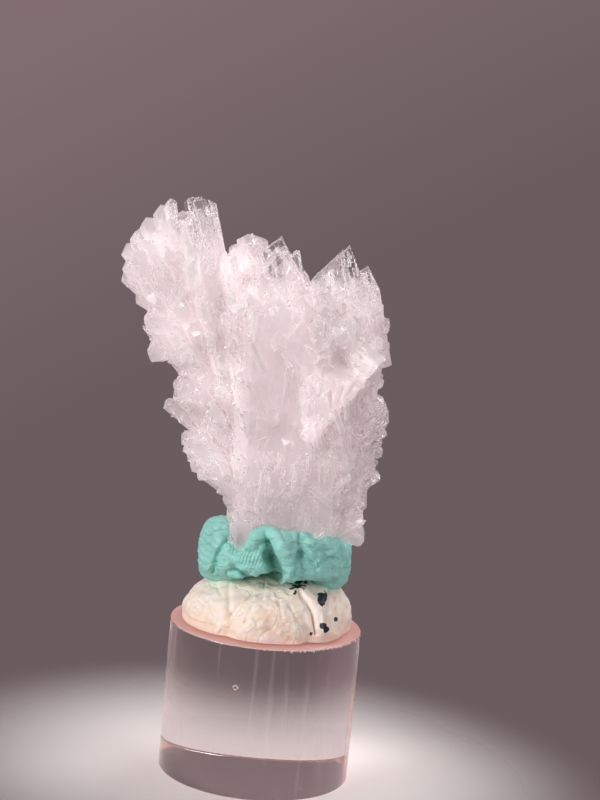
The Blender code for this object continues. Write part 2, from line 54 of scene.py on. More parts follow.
bl_info = {
    "name": "Creedite specimen",
    "version": (1, 0, 0),
    "blender": (4, 5, 0),
    "location": "View3D > Sidebar > Specimen",
    "description": "Crystals in mineral tack and putty on an acrylic cylinder",
    "category": "Object",
}

MM = 0.001
VIEW_ELEVATION = math.radians(9.643)
BODY = "root"
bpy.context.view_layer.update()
X, Y, Z = range(3)
# Share of a soft spot's reach, and of a thread's width, within which they are full
SPOT_CORE, THREAD_CORE = 0.25, 0.3

# Columns of a crystal's row: tip | lean to the right, pitch to the front, roll, degrees | size, share of the
# width left at the root, place of the ridge as a share of the width, slope of the left and of the right tip face
TIP, ANGLES = slice(0, 3), slice(3, 6)
WIDTH, THICKNESS, LENGTH, TAPER, RIDGE, LEFT, RIGHT = range(6, 13)
BLOCKS = np.array([
    (0.9, 0, 34.5, 0, 0, 0, 13.5, 9, 5.5, 0.85, 0, 0.1, 0.1),
    (2.7, 0, 60, 2, 0, 0, 18, 13.5, 28.4, 0.9, 0, 0.5, 0.5),
    (-2, -5.8, 63.2, -1, 5, 4, 9, 5.2, 29, 0.7, 0.1, 0.5, 0.7),
    (-1.5, 6, 62, -2, -6, -6, 13, 5.5, 28, 0.7, -0.1, 0.7, 0.7),
    (-6.2, -4.6, 63.6, -13, 6, 10, 6.4, 5, 27, 0.7, 0.1, 0.8, 0.9),
    (1.2, -4.2, 64.2, -5, 5, -8, 6, 5, 26, 0.75, 0.2, 0.8, 1.6),
    (-7.4, 4.8, 64.8, -14, -6, 8, 6.6, 5, 28, 0.7, 0, 0.7, 0.9),
    (2.4, 4.6, 64, -2, -6, -10, 6.6, 5, 28, 0.75, 0.15, 0.8, 1.3),
    (8.2, 4.2, 59.6, 4, -6, 6, 5.6, 5, 24, 0.75, 0.1, 0.7, 1.2),
    (-14, -0.5, 72.8, -18, 0, 6, 6.6, 7.5, 38, 0.74, 0.05, 0.4, 0.5),
    (-16.2, 0.5, 72, -24, 0, -8, 6.8, 8, 37, 0.66, 0.1, 0.6, 0.5),
    (-20.4, -0.4, 68.6, -33, 3, 6, 7.2, 8.5, 34, 0.62, 0.05, 0.6, 0.6),
    (-18, -1, 59.6, -40, 4, -6, 6.2, 8, 26, 0.6, -0.1, 0.6, 0.7),
    (-13.4, -1, 51.8, -40, 4, 8, 5.8, 8, 20, 0.76, 0.05, 0.6, 0.7),
    (-11.8, -1, 45.2, -44, 4, -8, 5.4, 8.5, 15, 0.8, 0, 0.6, 0.6),
    (-9.9, -1.2, 40.8, -54, 4, 6, 3.8, 7.5, 10, 0.8, 0, 0.6, 0.6),
    (-6.6, 3, 69, -12, -4, -10, 6.4, 6.5, 34, 0.7, 0, 0.35, 0.45),
    (-2.6, -1.4, 69.2, -13, 2, 4, 7.6, 7.5, 36, 0.75, 0.24, 0.9, 1.9),
    (5.5, -0.6, 69.2, -5, 2, 0, 7.6, 7.5, 34, 0.75, 0.24, 0.95, 3),
    (8.5, 0.4, 66.2, -4, 0, 8, 6.4, 8, 30, 0.8, 0.24, 0.75, 2.2),
    (10.5, 0.6, 58.6, 4, 0, -6, 4.8, 8, 24, 0.8, 0.15, 0.7, 1.2),
    (11.7, 3, 51, 24, -8, 6, 6.6, 7.5, 18, 0.7, 0, 0.7, 0.8),
    (11.7, 2.4, 43.6, 42, -8, -8, 6.8, 8, 14, 0.8, 0, 0.6, 0.7),
    (11, 0.6, 36.6, 66, 0, 6, 5, 8, 9, 0.85, 0, 0.5, 0.5),
    (3.4, -8.5, 46, 177, 7, 4, 5.4, 3.2, 14, 0.9, 0.24, 1.3, 0.4),
    (8.3, -8.2, 52, 128, 7, -5, 5.4, 3.2, 11, 0.9, 0, 0.12, 0.15),
    (10.6, -7, 55.2, 126, 8, 5, 4.4, 3.4, 10, 0.9, 0.05, 0.15, 0.2),
    (7, -6, 62, -4, 8, 10, 6.8, 4.5, 20, 0.8, 0.2, 0.7, 1.2),
])
EDGES = np.array([
    (-13, -0.9, 74.7, -17, 0, 8, 3.6, 2.8, 14, 0.85, 0.05, 0.3, 0.75),
    (-14.6, 0.5, 74.3, -16, 0, -10, 3, 2.6, 14, 0.85, -0.2, 0.6, 0.3),
    (-12.4, 0.3, 73.6, -13, 0, 20, 1.9, 2.4, 12, 0.85, 0.05, 0.4, 0.6),
    (-16.9, 0, 74, -14, 4, 15, 1.7, 1.6, 10, 0.85, 0.15, 0.8, 0.6),
    (-18.3, 1, 73, -24, 0, 0, 2.2, 2, 12, 0.85, 0.1, 0.7, 0.6),
    (-19.7, -1, 71.4, -28, 3, 10, 2.6, 2.2, 12, 0.85, 0.05, 0.6, 0.5),
    (-20.9, 0.5, 69.6, -34, 0, -12, 2.8, 2.6, 12, 0.85, 0.1, 0.5, 0.5),
    (-21.95, -1.2, 67.8, -42, 4, 6, 2.8, 2.8, 12, 0.85, 0, 0.45, 0.5),
    (-22.1, 0, 64.3, -52, 0, 0, 2.6, 2.6, 12, 0.85, 0, 0.5, 0.6),
    (-20.2, -1, 61.8, -62, 5, 12, 2.3, 2.4, 10, 0.85, 0.05, 0.5, 0.7),
    (-17.4, -2, 53.5, -166, -4, 0, 2.6, 2.8, 10, 0.9, 0.1, 0.5, 0.8),
    (-16.1, -0.6, 53.3, -172, 0, 15, 2.4, 2.4, 9, 0.9, 0, 0.6, 0.8),
    (-18.4, -1.2, 57.6, -150, 0, 6, 2.4, 2.8, 10, 0.9, 0, 0.5, 0.6),
    (-14.6, -1, 50.8, -74, 0, 0, 2.6, 2.8, 8, 0.85, 0, 0.6, 0.6),
    (-15.3, -2.5, 48.5, -54, 6, 0, 1.8, 1.5, 8, 0.95, 0.05, 0.4, 0.6),
    (-12.9, -1.5, 44.2, -62, 4, 10, 2.4, 2.4, 8, 0.85, 0, 0.5, 0.5),
    (-11.2, -2, 39.8, -140, 0, 0, 2.6, 2.8, 8, 0.9, 0, 0.6, 0.6),
    (-10, -2.8, 38.7, -160, 5, 10, 2.4, 2.6, 8, 0.9, 0.1, 0.5, 0.8),
    (-7, -1, 36.2, -96, 0, 8, 2.4, 3, 6, 0.9, 0, 0.4, 0.4),
    (-7, 3.2, 70.1, -14, -6, 8, 3, 3, 12, 0.85, 0, 0.35, 0.35),
    (-5.5, 3.6, 69.8, -10, -4, -10, 2.6, 2.8, 12, 0.85, 0.05, 0.3, 0.5),
    (-8.5, 2.8, 68.7, -20, -4, 20, 2.2, 2.6, 11, 0.85, -0.05, 0.6, 0.4),
    (-2.5, -1.6, 70.6, -23, 2, 0, 4.6, 2.8, 16, 0.9, 0.24, 0.35, 6),
    (-0.35, -0.3, 69, -12, 0, 25, 1.8, 1.3, 10, 0.9, 0.24, 0.7, 6),
    (0.8, 1.2, 66.3, -16, 0, 10, 1.5, 1.5, 8, 0.9, 0.24, 0.9, 2),
    (1.9, -1, 65.6, -18, 0, -10, 1.5, 1.4, 8, 0.9, 0.24, 0.9, 2),
    (3, -1.5, 66.9, -18, 0, 5, 2, 1.8, 10, 0.9, 0.24, 0.9, 2),
    (6.2, -0.8, 70.2, -19, 2, 0, 4.8, 2.6, 15, 0.9, 0.24, 0.64, 8),
    (5, 1.5, 68.8, -17, -3, 12, 3, 2.2, 12, 0.9, 0.24, 0.9, 2.2),
    (8.8, 0.2, 67.7, -15, 0, 0, 3.8, 2.6, 13, 0.95, 0.24, 0.4, 3.2),
    (10.3, 1, 63.4, -12, 0, 10, 2, 2, 8, 0.9, 0.2, 0.9, 1.5),
    (12.1, 0.3, 61.3, 14, 0, 0, 1.8, 1.6, 6.5, 0.9, 0.24, 0.6, 1.8),
    (12, -1, 57.4, 26, 3, 0, 2, 2.2, 7, 0.9, 0.1, 0.5, 0.8),
    (12.2, 3, 53, 62, -6, 0, 2.2, 2.2, 9, 0.9, 0.05, 0.6, 0.6),
    (13, 2.6, 49.6, 76, -4, 10, 2, 2, 9, 0.9, -0.1, 0.8, 0.8),
    (13.4, 2.2, 46, 96, 0, 0, 2, 2, 9, 0.9, -0.2, 0.6, 0.9),
    (13.1, 3, 43.2, 110, 0, 12, 2, 2, 9, 0.9, -0.15, 0.5, 0.9),
    (13, 2, 39.9, 122, 0, 0, 1.8, 1.8, 8, 0.9, -0.15, 0.5, 0.9),
    (11.4, 1, 38, 110, 0, 10, 2, 2.2, 8, 0.9, 0, 0.6, 0.6),
    (11.4, -0.5, 34.9, 92, 0, 0, 2.4, 2.6, 7, 0.9, 0, 0.35, 0.35),
    (11.7, -0.6, 32.7, 97, 0, 12, 3, 2.4, 5, 0.9, 0, 0.35, 0.35),
    (-3.6, -5, 36, 0, 0, 0, 4.6, 3, 6.5, 0.85, 0, 0.3, 0.3),
])
# Crystals that close the groove beside the wing, and a slanting one on the smooth middle
FILLERS = np.array([
    (-8.8, -2, 67.7, -14, 2, 38, 2.2, 2, 9, 0.85, 0.1, 0.5, 0.6),
    (-8.3, -2.8, 65.7, -8, 2, -10, 2.2, 2.4, 8, 0.85, -0.1, 0.6, 0.5),
    (-7.8, -3.4, 63.9, -14, 3, 15, 2.2, 2.4, 8, 0.85, 0.1, 0.5, 0.6),
    (-4.95, -8.55, 57.9, -28, 3, 14, 1, 1, 4.2, 0.9, 0, 0.6, 0.6),
])
# Small crystals that stand out of the smooth faces of the knob, the wing and the flap
SPRIGS = np.array([
    (-6.6, -0.8, 68.2, -18, 14, 20, 1.2, 1, 4, 0.85, 0.1, 0.6, 0.8),
    (-5.9, -0.9, 66.6, -4, 14, -25, 1.3, 1, 4.5, 0.85, -0.1, 0.7, 0.5),
    (-7.2, -0.8, 66.9, -24, 12, 10, 1, 0.9, 3.5, 0.85, 0, 0.6, 0.6),
    (-6.4, -0.8, 65.2, -14, 14, 35, 1.2, 1, 4, 0.85, 0.1, 0.5, 0.8),
    (-8.5, -3.4, 66.8, -20, 14, 25, 0.9, 0.8, 3, 0.85, 0, 0.6, 0.7),
    (-7.8, -4.4, 65.4, 2, 14, -30, 1, 0.9, 3.5, 0.85, 0.1, 0.6, 0.5),
    (-8.9, -3.6, 64.6, -26, 12, 15, 0.9, 0.8, 3, 0.85, -0.1, 0.5, 0.7),
    (-10.9, -4.4, 61.9, -22, 12, 20, 1, 0.9, 4, 0.85, 0.1, 0.6, 0.6),
    (-10.2, -4.4, 60.6, -12, 12, -15, 0.9, 0.9, 3.6, 0.85, 0, 0.7, 0.5),
    (-10.9, -4.4, 59.4, -28, 12, 30, 1, 0.9, 3.6, 0.85, -0.1, 0.6, 0.7),
    (-10.3, -4.5, 58.2, -16, 12, 5, 0.9, 0.8, 3.2, 0.85, 0.1, 0.6, 0.6),
    (5.2, -9.8, 53.2, -10, 10, 20, 1.1, 0.9, 4, 0.85, 0.1, 0.6, 0.8),
    (6.6, -9.9, 54, 12, 10, -20, 1, 0.9, 3.6, 0.85, -0.1, 0.6, 0.6),
    (6, -9.8, 50.8, -24, 10, 10, 1, 0.9, 3.4, 0.85, 0, 0.7, 0.6),
    (8.2, -9.8, 54.6, 24, 10, 30, 1, 0.9, 3.2, 0.85, 0.1, 0.6, 0.5),
    (7.4, -10, 52.4, -6, 10, -30, 0.9, 0.8, 3, 0.85, 0, 0.5, 0.7),
    (3.9, -9.8, 48.9, -16, 10, 25, 1, 0.9, 3.4, 0.85, 0.1, 0.6, 0.6),
])
# Barbs low on the right: tip | lean, roll | width
BARBS = np.array([
    (12.3, -1.6, 51, 55, 20, 1.1), (12.9, -1.6, 48.4, 60, -15, 1.3), (11.6, -3.1, 48.9, 48, 30, 1),
    (12.7, -2.1, 45.6, 60, 5, 1.3), (11.3, -3, 46.2, 45, -25, 1.1), (10, -4.7, 47.6, 40, 15, 1.2),
    (12.4, -1.9, 43, 58, -10, 1.2), (10.9, -3.3, 43.6, 45, 25, 1), (9.6, -5, 44.4, 40, -30, 1.1),
    (12.4, -1.2, 40.4, 62, 10, 1.2), (11, -3.1, 41, 50, -20, 1.1), (9, -5.2, 41.6, 36, 35, 1),
    (11.2, -3.1, 38.2, 50, 0, 1.2), (9.6, -4.2, 38.6, 35, 20, 1), (7.4, -5.9, 39.8, 28, -15, 1.1),
    (6, -6.4, 43.4, 20, 10, 0.9), (11.4, -3.5, 35.6, 48, -25, 1.1), (8.2, -4.7, 36.2, 30, 15, 1),
])
BARB_PITCH = 12
BARB_FLATNESS = 0.8
# Their length, taper, ridge and slopes
BARB_SHAPE = (4.0, 0.75, 0.10, 0.80, 1.20)

# Where the crystals are clearer (share above 0) or whiter: x, y, z, reach, share
CLEAR_SPOTS = [
    (-12.4, -2, 73.4, 6.2, 1), (-14.4, -1, 72.6, 3.8, 0.97), (-12, -2, 71.6, 5, 1), (-11.2, -3, 68.6, 3, 0.6),
    (-11, -3, 66.6, 2.8, 0.8), (-10.8, -4, 63.8, 2.2, 0.4), (-9, -4, 61.8, 1.8, 0.7), (-2.6, -3, 68, 5.6, 1),
    (-0.7, 0, 67.4, 3.4, 0.95), (5.8, -2, 68, 6.2, 0.99), (2.8, -3, 65.4, 3.8, 0.75), (9.2, -2, 65.4, 4.8, 0.85),
    (12.2, 0, 59.2, 3, 0.6), (4.1, -6, 60, 2.4, 0.25), (1.1, -8, 53.2, 1.4, 0.5), (11.5, -1, 47, 6.5, 0.82),
    (11, -1, 40, 6, 0.66), (2.3, -5, 34.5, 6, 0.45), (-5, -6, 49.5, 3, 0.15), (-21.5, 0, 63.5, 2.5, 0.4),
    (-17.6, -1, 54, 2.2, 0.4), (-5.6, -1, 69.1, 2.2, 0.55),
]
WHITE_SPOTS = [
    (-18.3, -4, 67.5, 3, 0.5), (-8.3, -2, 66.4, 2.6, 0.7), (-11.6, -4, 48.8, 1.8, 0.5),
    (-14.1, -4, 57.3, 2.2, 0.3), (1.7, -7, 59.2, 1.2, 0.4), (3.8, -9, 47.2, 2.4, 0.5), (6.4, -9, 49.8, 2, 0.5),
    (8.6, -9, 52.8, 2, 0.5), (10.8, -8, 55.8, 2, 0.25), (6, -9, 54.5, 4, 0.3),
]
# Painted light and shade on the milky crystals: spots where their colour is brighter (above 0) or darker
PAINTED_LIGHT_SPOTS = [
    (-14, -5, 58, 5, 0.8), (-9, -5, 52, 5.5, 1), (-8, -5, 43.5, 6, 1), (-18.3, -4, 67.5, 3, 0.5),
    (-7.3, -1, 67.2, 3.2, 0.9), (-3.3, -5, 58, 6.5, -0.4), (5.5, -5, 58.5, 5.5, -1), (-15, -5, 65.5, 4.5, -0.1),
    (-2.5, -6, 47, 4, -0.5), (9.8, -3, 43, 5, 0.3), (1, -6, 36, 6, -0.9), (8, -6, 36.5, 5, -0.6),
    (4, -5, 63.2, 3, -0.6), (4.2, -9, 47.5, 2.6, 0.8), (4.5, -6, 41, 4, -0.5), (-3.5, -8, 51.5, 2.5, -0.5),
    (-5.6, -1, 68.8, 2.4, -0.8),
]
# Painted shade in the hollows of the tack
HOLLOW_SHADE_SPOTS = [
    (0.1, 0, 31, 1, 0.35), (0.5, 0, 30.1, 1.2, 1), (0.9, 0, 29, 1.1, 0.7), (1.6, 0, 29.3, 0.7, 0.4),
    (3.3, 0, 31.2, 0.9, 0.35), (2.7, 0, 32.8, 0.7, 0.25), (-7.3, 0, 28.6, 0.8, 0.4), (-4.9, 0, 29.1, 0.7, 0.6),
    (-3.3, 0, 28.4, 0.8, 0.6), (8.6, 0, 27, 1.8, 0.55), (6.4, 0, 27, 1.6, 0.4),
]

# Smaller crystals that grow out of the faces of the given ones. Ranges are least and most: widths, lengths over
# widths, share of the length that sticks out, tilt away from the face
COVER = Values(seed=5, spacing=1.2, widths=(1.8, 3.1), slender=(1.6, 3.2), stick=(0.14, 0.32), tilt=(0.30, 0.75),
               unrest=0.22, lowest=36.5, facing=0.5, overhang=0.2, sunk=0.25, low=0.22)
MIDDLING = Values(seed=31, spacing=0.8, widths=(0.9, 2.2), slender=(1.8, 3.8), stick=(0.05, 0.20),
                  tilt=(0.15, 0.50), unrest=0.12, lowest=32.5, facing=0.0, overhang=-0.25, sunk=0.12, low=0.02)
FINE = Values(seed=32, spacing=0.9, widths=(0.35, 0.9), slender=(1.5, 3.5), stick=(0.10, 0.35), tilt=(0.15, 0.9),
              unrest=0.30, lowest=32.0, facing=0.0, overhang=0.12, sunk=0.08, low=0.02)
COVER_TRIES = 1000
COVER_DEPTH = 10.0
COVER_TAPER = 0.55
# Least and most of their roll in degrees, thickness over width, place of the ridge and slopes of the tip faces
COVER_SHAPES = [(-90, 90), (0.5, 0.85), (-0.24, 0.24), (0.4, 1.0), (0.5, 1.8)]
GRAIN_SEED, MIDDLING_SEED, FINE_SEED = 8, 41, 42
# Milkiness of the blocks, edge crystals, cover, fillers, sprigs, barbs, middling and fine crystals
MILK_SHARES = [0.85, 0.60, 0.60, 0.80, 0.60, 0.60, 0.45, 0.30]
# Height above which the crystals are clear on the right, its rise to the left wing, and where it rises
CLEAR_LINE = Values(right=64.0, rise=4.6, between=(-8.5, -12.5), blur=(-1, 2))
# Shares of the small crystals that are left out, and soft boxes given as axis, outside and inside
LEFT_OUT = Values(tips=0.85, middle=0.9, wing=0.6)
KNOB_BOX = [(X, -9.5, -8.5), (X, -4, -5), (Y, 0, 1.5)]
MIDDLE_BOX = [(Y, 1, -1), (X, -6, -4.4), (X, 3.4, 1.8), (Z, 40, 45), (Z, 64.5, 61)]
WING_BOX = [(Y, 1, -1), (X, -17.5, -16), (X, -8.5, -10), (Z, 56, 59), (Z, 71, 68)]

# The six corners of a crystal's section, as shares of its width and thickness, and the share of the covering
# crystals that grow on each of its side faces
CORNER_U = np.array([-0.5, -0.25, 0.25, 0.5, 0.25, -0.25])
CORNER_V = np.array([0.0, -0.5, -0.5, 0.0, 0.5, 0.5])
FACE_SHARE = np.array([0.12, 0.26, 0.12, 0.12, 0.26, 0.12])
# The eight corners of its shell: the same six with two on the ridge between the tip faces
SHELL_U = np.array([-0.5, -0.25, 0.0, 0.25, 0.5, 0.25, 0.0, -0.25])
SHELL_V = np.array([0.0, -0.5, -0.5, -0.5, 0.0, 0.5, 0.5, 0.5])
ON_RIDGE = [2, 6]
LOWEST_CORNER = 0.25
# Faces of one crystal, by the eight corners of its root (0 to 7) and of its top (8 to 15)
SHELL_CORNERS = 16
FACES = [(i, (i + 1) % 8, (i + 1) % 8 + 8, i + 8) for i in range(8)]
FACES += [(8, 9, 10, 14, 15), (10, 11, 12, 13, 14), (7, 6, 5, 4, 3, 2, 1, 0)]

# Angle kept from a pole, in radians, and steps along which a profile is measured
POLE = 1e-6
PROFILE_STEPS = 6000
STROKE_FADE = (1, 4)
WAVE_COUNT = 18
WAVE_SPREAD = (0.7, 1.5)
TACK = Values(columns=620, rows=150, middle=0.35, half=(9.75, 8.75), top=33.6, bottom=24.75, front_lift=2.9,
              lift_power=1.2, level_power=0.32, height_power=0.45)
# Bowl round the crystals: its depth, and the shares of height and radius between which it begins
TACK_BOWL = Values(depth=2.4, height=(0.4, 0.9), level=(0.80, 0.62))
# Swellings and creases of its side: heading in degrees, half spread, share of the radius, and how far the
# fold's heading shifts from half height to the top
TACK_FOLDS = [
    (196, 14, 0.03, 0), (221, 4, -0.04, 10), (245, 10, 0.02, 0), (266, 4.5, -0.1, -5.5), (279, 7, 0.075, -8.5),
    (291, 3, -0.045, 2), (310, 15, 0.045, 0), (340, 8, -0.03, 0), (20, 18, 0.035, 0), (62, 7, -0.055, 4),
    (90, 16, 0.04, 0), (128, 8, -0.05, -4), (155, 14, 0.03, 0),
]
# Rises and dips of its upper and of its lower edge: heading, half spread, height
TACK_RIM = [
    (207, 11, 1.15), (226, 5, -0.9), (237, 9.5, -2.75), (262, 12, 0.6), (288, 20, 0.9), (316, 11, 0.45),
    (350, 10, -1), (40, 20, -1), (100, 16, 0.3), (150, 14, -0.8),
]
TACK_UNDERSIDE = [(238, 8, 1.3), (281, 8, -1.1), (322, 12, 0.5), (60, 8, 0.8), (130, 7, 1.0)]
# Creases and rolls on the front: points (x, z), half width, height
TACK_STROKES = [
    ([(-2.4, 33.4), (-1.7, 34), (-0.4, 34.1), (0.9, 33.1), (1.5, 31.6), (2, 30.2), (2.3, 29.1)], 1, 0.55),
    ([(-0.6, 32.7), (0.1, 31.2), (0.8, 29.7), (1.3, 28.6)], 0.26, -0.95),
    ([(-0.3, 30.9), (0.4, 29.6), (0.8, 28.6)], 0.65, -1.05),
    ([(-1.7, 32.3), (-0.9, 32.7)], 0.35, -0.35),
    ([(3.2, 34), (3.5, 31.9), (3.2, 30.2), (2.8, 28.8)], 0.22, -0.5),
    ([(3.5, 31.5), (3.3, 30.6)], 0.34, -0.75),
    ([(-2, 34.1), (-0.6, 34.6), (0.9, 33.8), (2.1, 32.1)], 0.12, -0.16),
    ([(-0.6, 27.5), (1.2, 27.4), (2.8, 27), (5, 26.9)], 0.62, -1.3),
    ([(4.6, 27.9), (6.9, 27.3), (8.9, 26.5)], 0.16, -0.22),
    ([(4.1, 33.5), (5.8, 33.8), (7.8, 33)], 0.26, -0.26),
    ([(4.7, 32.4), (5.9, 31.8), (7.4, 32)], 0.22, -0.28),
    ([(5.7, 29.6), (6.8, 30.5), (7.9, 30.9)], 0.22, -0.28),
    ([(8, 32.1), (8.5, 30.3), (8.4, 28.3)], 0.4, 0.22),
    ([(6.2, 33), (7.6, 29.6)], 1.1, -0.32),
    ([(4.4, 31), (5.4, 30.2), (6, 28.9)], 0.2, -0.18),
    ([(-4.9, 32.9), (-6.2, 31.5), (-6.9, 29.8), (-7.2, 28.4), (-7.4, 26.8)], 0.24, -0.5),
    ([(-5.6, 31), (-6.2, 29.6), (-6.5, 28.2)], 0.5, 0.28),
    ([(-8.1, 32.2), (-8.2, 30.6), (-8.1, 29)], 0.3, -0.14),
    ([(-6.9, 34.2), (-7.4, 32.6)], 0.55, 0.22),
    ([(-4.6, 32.6), (-4.2, 31.2), (-2.9, 31), (-1.6, 31.6)], 0.45, -0.3),
    ([(-5.4, 28.8), (-3.9, 28.9), (-1.8, 28.2)], 0.28, 0.18),
]
TACK_BACK_STROKES = [
    ([(-6.2, 33.4), (-4.9, 30.6), (-5.4, 26.8)], 0.4, -0.9),
    ([(-1.8, 33), (-0.6, 30), (0.9, 27.6)], 0.32, -0.8),
    ([(-3.4, 33.2), (-2.6, 31), (-1.6, 28.4)], 0.75, 0.55),
    ([(3.2, 33.4), (4, 30.8), (3, 27.4)], 0.34, -0.7),
    ([(6.4, 32.2), (7.2, 29.6), (6.8, 26.6)], 0.5, -0.4),
]
# Lumps: height, length, seed
TACK_WAVES = [(0.12, 3.2, 11), (0.055, 1.0, 12), (0.018, 0.35, 13)]
# Where fingertips pressed it: share, side of the piece, middle and half spread in x and in z
TACK_PRESSES = [(1.0, -1, -2.8, 2.2, 30.4, 1.0), (0.5, 1, 1.5, 3.0, 29.5, 2.0)]
PRESS_FADE = (2, 5)
FINGERPRINT = Values(pitch=0.42, slant=0.30, middle=30, waver=[(0.10, 3.0, 14)])
TACK_PITS = Values(count=40, seed=15, x=(4.4, 8.8), z=(29.2, 32.8), radius=(0.07, 0.16), depth=1.1, fade=(1, 3))
# Loose crumb of tack under the lifted edge
CRUMB = Values(columns=48, rows=24, middle=(-4.3, -7.75, 28.05), half=(1.15, 0.75, 0.50), waves=[(0.12, 1.2, 16)])

PUTTY = Values(columns=620, rows=120, radius=11.05, foot=20.3, height=6.35, power=0.77, lean=0.16,
               foot_calm=(0.0, 0.10), highest=0.30)
# Lobes and creases of its side: heading, half spread, share of the radius
PUTTY_FOLDS = [
    (214, 18, 0.02), (244, 5, -0.045), (268, 14, 0.015), (301, 5, -0.06), (316, 7, 0.015), (341, 8, -0.025),
    (18, 14, 0.02), (55, 6, -0.04), (92, 16, 0.02), (128, 6, -0.045), (160, 12, 0.015),
]
PUTTY_STROKES = [
    ([(-5.1, 25.3), (-4.8, 23.9), (-4.4, 22.3), (-4, 20.9)], 0.4, -0.25),
    ([(-4.4, 23.2), (-3.3, 24.6), (-2, 25.6), (-0.6, 26.2)], 0.2, -0.34),
    ([(-3.8, 23), (-2.8, 24.1), (-1.6, 25.1)], 0.4, 0.2),
    ([(-0.6, 25.4), (-1.9, 24.3), (-2.6, 22.6)], 0.2, -0.22),
    ([(0.4, 25.6), (0.1, 24.2), (-0.9, 22.9), (-0.8, 21.9)], 0.24, -0.16),
    ([(1.5, 25.2), (1.9, 23.9), (2.7, 22.4)], 0.24, -0.16),
    ([(2.9, 24.8), (4.1, 23.4), (5, 21.9)], 0.22, -0.16),
    ([(-1.2, 24.9), (0.2, 24.3), (1.3, 24.6)], 0.2, -0.12),
    ([(-1, 24.6), (-2, 23.1), (-2.2, 21.8)], 0.5, 0.16),
    ([(0.3, 24.6), (-0.6, 22.6)], 0.45, 0.16),
    ([(2, 24.2), (2.8, 22.2)], 0.45, 0.14),
    ([(3.8, 26), (5.1, 25), (5.8, 23.8), (6.4, 21.5)], 0.24, -0.6),
    ([(3.2, 25.9), (4.8, 25.9), (6, 25.4)], 0.45, 0.3),
    ([(4.6, 24.4), (5.2, 23.4), (5.6, 22.4)], 0.35, 0.25),
    ([(6.9, 26.2), (6.9, 24), (7.3, 21.4)], 0.6, 0.28),
    ([(8.5, 25.2), (8.9, 23.5), (9, 21.4)], 0.16, -0.34),
    ([(-10.1, 22.1), (-9.9, 22.9), (-9, 23.5), (-8.1, 23.3), (-8.1, 22.6), (-8.8, 22), (-9.5, 22.1),
      (-9.4, 22.7), (-8.8, 22.8)], 0.14, -0.24),
    ([(-10.4, 21), (-8.8, 21.1), (-6.5, 21.3)], 0.18, -0.26),
    ([(-8.6, 24.6), (-6.8, 25.2), (-5.8, 24.6)], 0.22, -0.12),
    ([(-7.6, 23.8), (-6.4, 23), (-6.2, 22)], 0.3, -0.14),
]
PUTTY_BACK_STROKES = [
    ([(0, 26.4), (-2.4, 24), (-4, 21)], 0.34, -0.45),
    ([(0.6, 26.4), (1.6, 23.6), (1.8, 20.8)], 0.3, -0.4),
    ([(1.6, 26.2), (5, 23.8), (6.6, 21)], 0.34, -0.45),
    ([(-5, 25.6), (-7.6, 23.4), (-8.8, 21.2)], 0.3, -0.35),
]
PUTTY_WAVES = [(0.11, 2.6, 21), (0.035, 1.1, 22), (0.012, 0.4, 23)]
# Smoothed strip on its right
PUTTY_STRIP = Values(share=0.8, middle=7.2, half=0.9, fade=(1, 3))

# The cylinder's rings: shares of the radius on the top and on the foot, shares of the height on the side
CYLINDER = Values(columns=256, edge_steps=6, top=(0.02, 0.3, 0.6, 0.85), side=(0.75, 0.5, 0.25), foot=(0.5, 0.02),
                  sharp=math.radians(30))


def crystal_axes(rows):
    """Length, width and thickness directions of each crystal, from its lean, pitch and roll."""
    lean, pitch, roll = np.radians(rows[:, ANGLES]).T
    along = np.stack([np.sin(lean) * np.cos(pitch), -np.sin(pitch), np.cos(lean) * np.cos(pitch)], -1)
    level = np.stack([np.cos(lean), 0 * lean, -np.sin(lean)], -1)
    depth = np.cross(along, level)
    wide = level * np.cos(roll)[:, None] + depth * np.sin(roll)[:, None]
    return along, wide, np.cross(along, wide)


def crystal_roots(rows, along, wide):
    """Middle of each crystal's root."""
    return rows[:, TIP] - along * rows[:, [LENGTH]] - wide * (rows[:, [RIDGE]] * rows[:, [WIDTH]])


def tip_height(rows, across):
    """Height above the root of the two tip faces: both planes fall away from the ridge by their slopes."""
    ridge = rows[:, RIDGE] * rows[:, WIDTH]
    slope = np.where(across < ridge, rows[:, LEFT], rows[:, RIGHT])
    return rows[:, LENGTH] - slope * np.abs(across - ridge)


def swelling(rows, height):
    """Share of its full section that each crystal has at a height: a straight line from the taper to 1."""
    return rows[:, TAPER] + (1 - rows[:, TAPER]) * height / rows[:, LENGTH]


def crystal_shells(rows):
    """Vertices of every crystal, sixteen each: a flattened hexagon carried along the axis.

    The section swells in a straight line from root to tip, so a corner at share U of the width meets a tip
    plane of slope s where height = (length - s ridge + s U taper) / (1 - s U (1 - taper) / length).
    """
    along, wide, thick = crystal_axes(rows)
    width, thickness, reach, swell, ridge, left, right = rows[:, WIDTH:].T[..., None]
    ridge = ridge * width
    across, through = width * SHELL_U, thickness * SHELL_V
    across[:, ON_RIDGE] = ridge
    slope = np.where(SHELL_U < 0, left, -right)
    height = (reach - slope * ridge + slope * across * swell) / (1 - slope * across * (1 - swell) / reach)
    height[:, ON_RIDGE] = reach
    height = np.maximum(height, LOWEST_CORNER * reach)
    grown = swell + (1 - swell) * height / reach
    root = crystal_roots(rows, along, wide)[:, None]
    section = across[..., None] * wide[:, None] + through[..., None] * thick[:, None]
    low = root + section * swell[..., None]
    high = root + section * grown[..., None] + height[..., None] * along[:, None]
    return np.concatenate([low, high], 1), np.concatenate([across, across], 1)


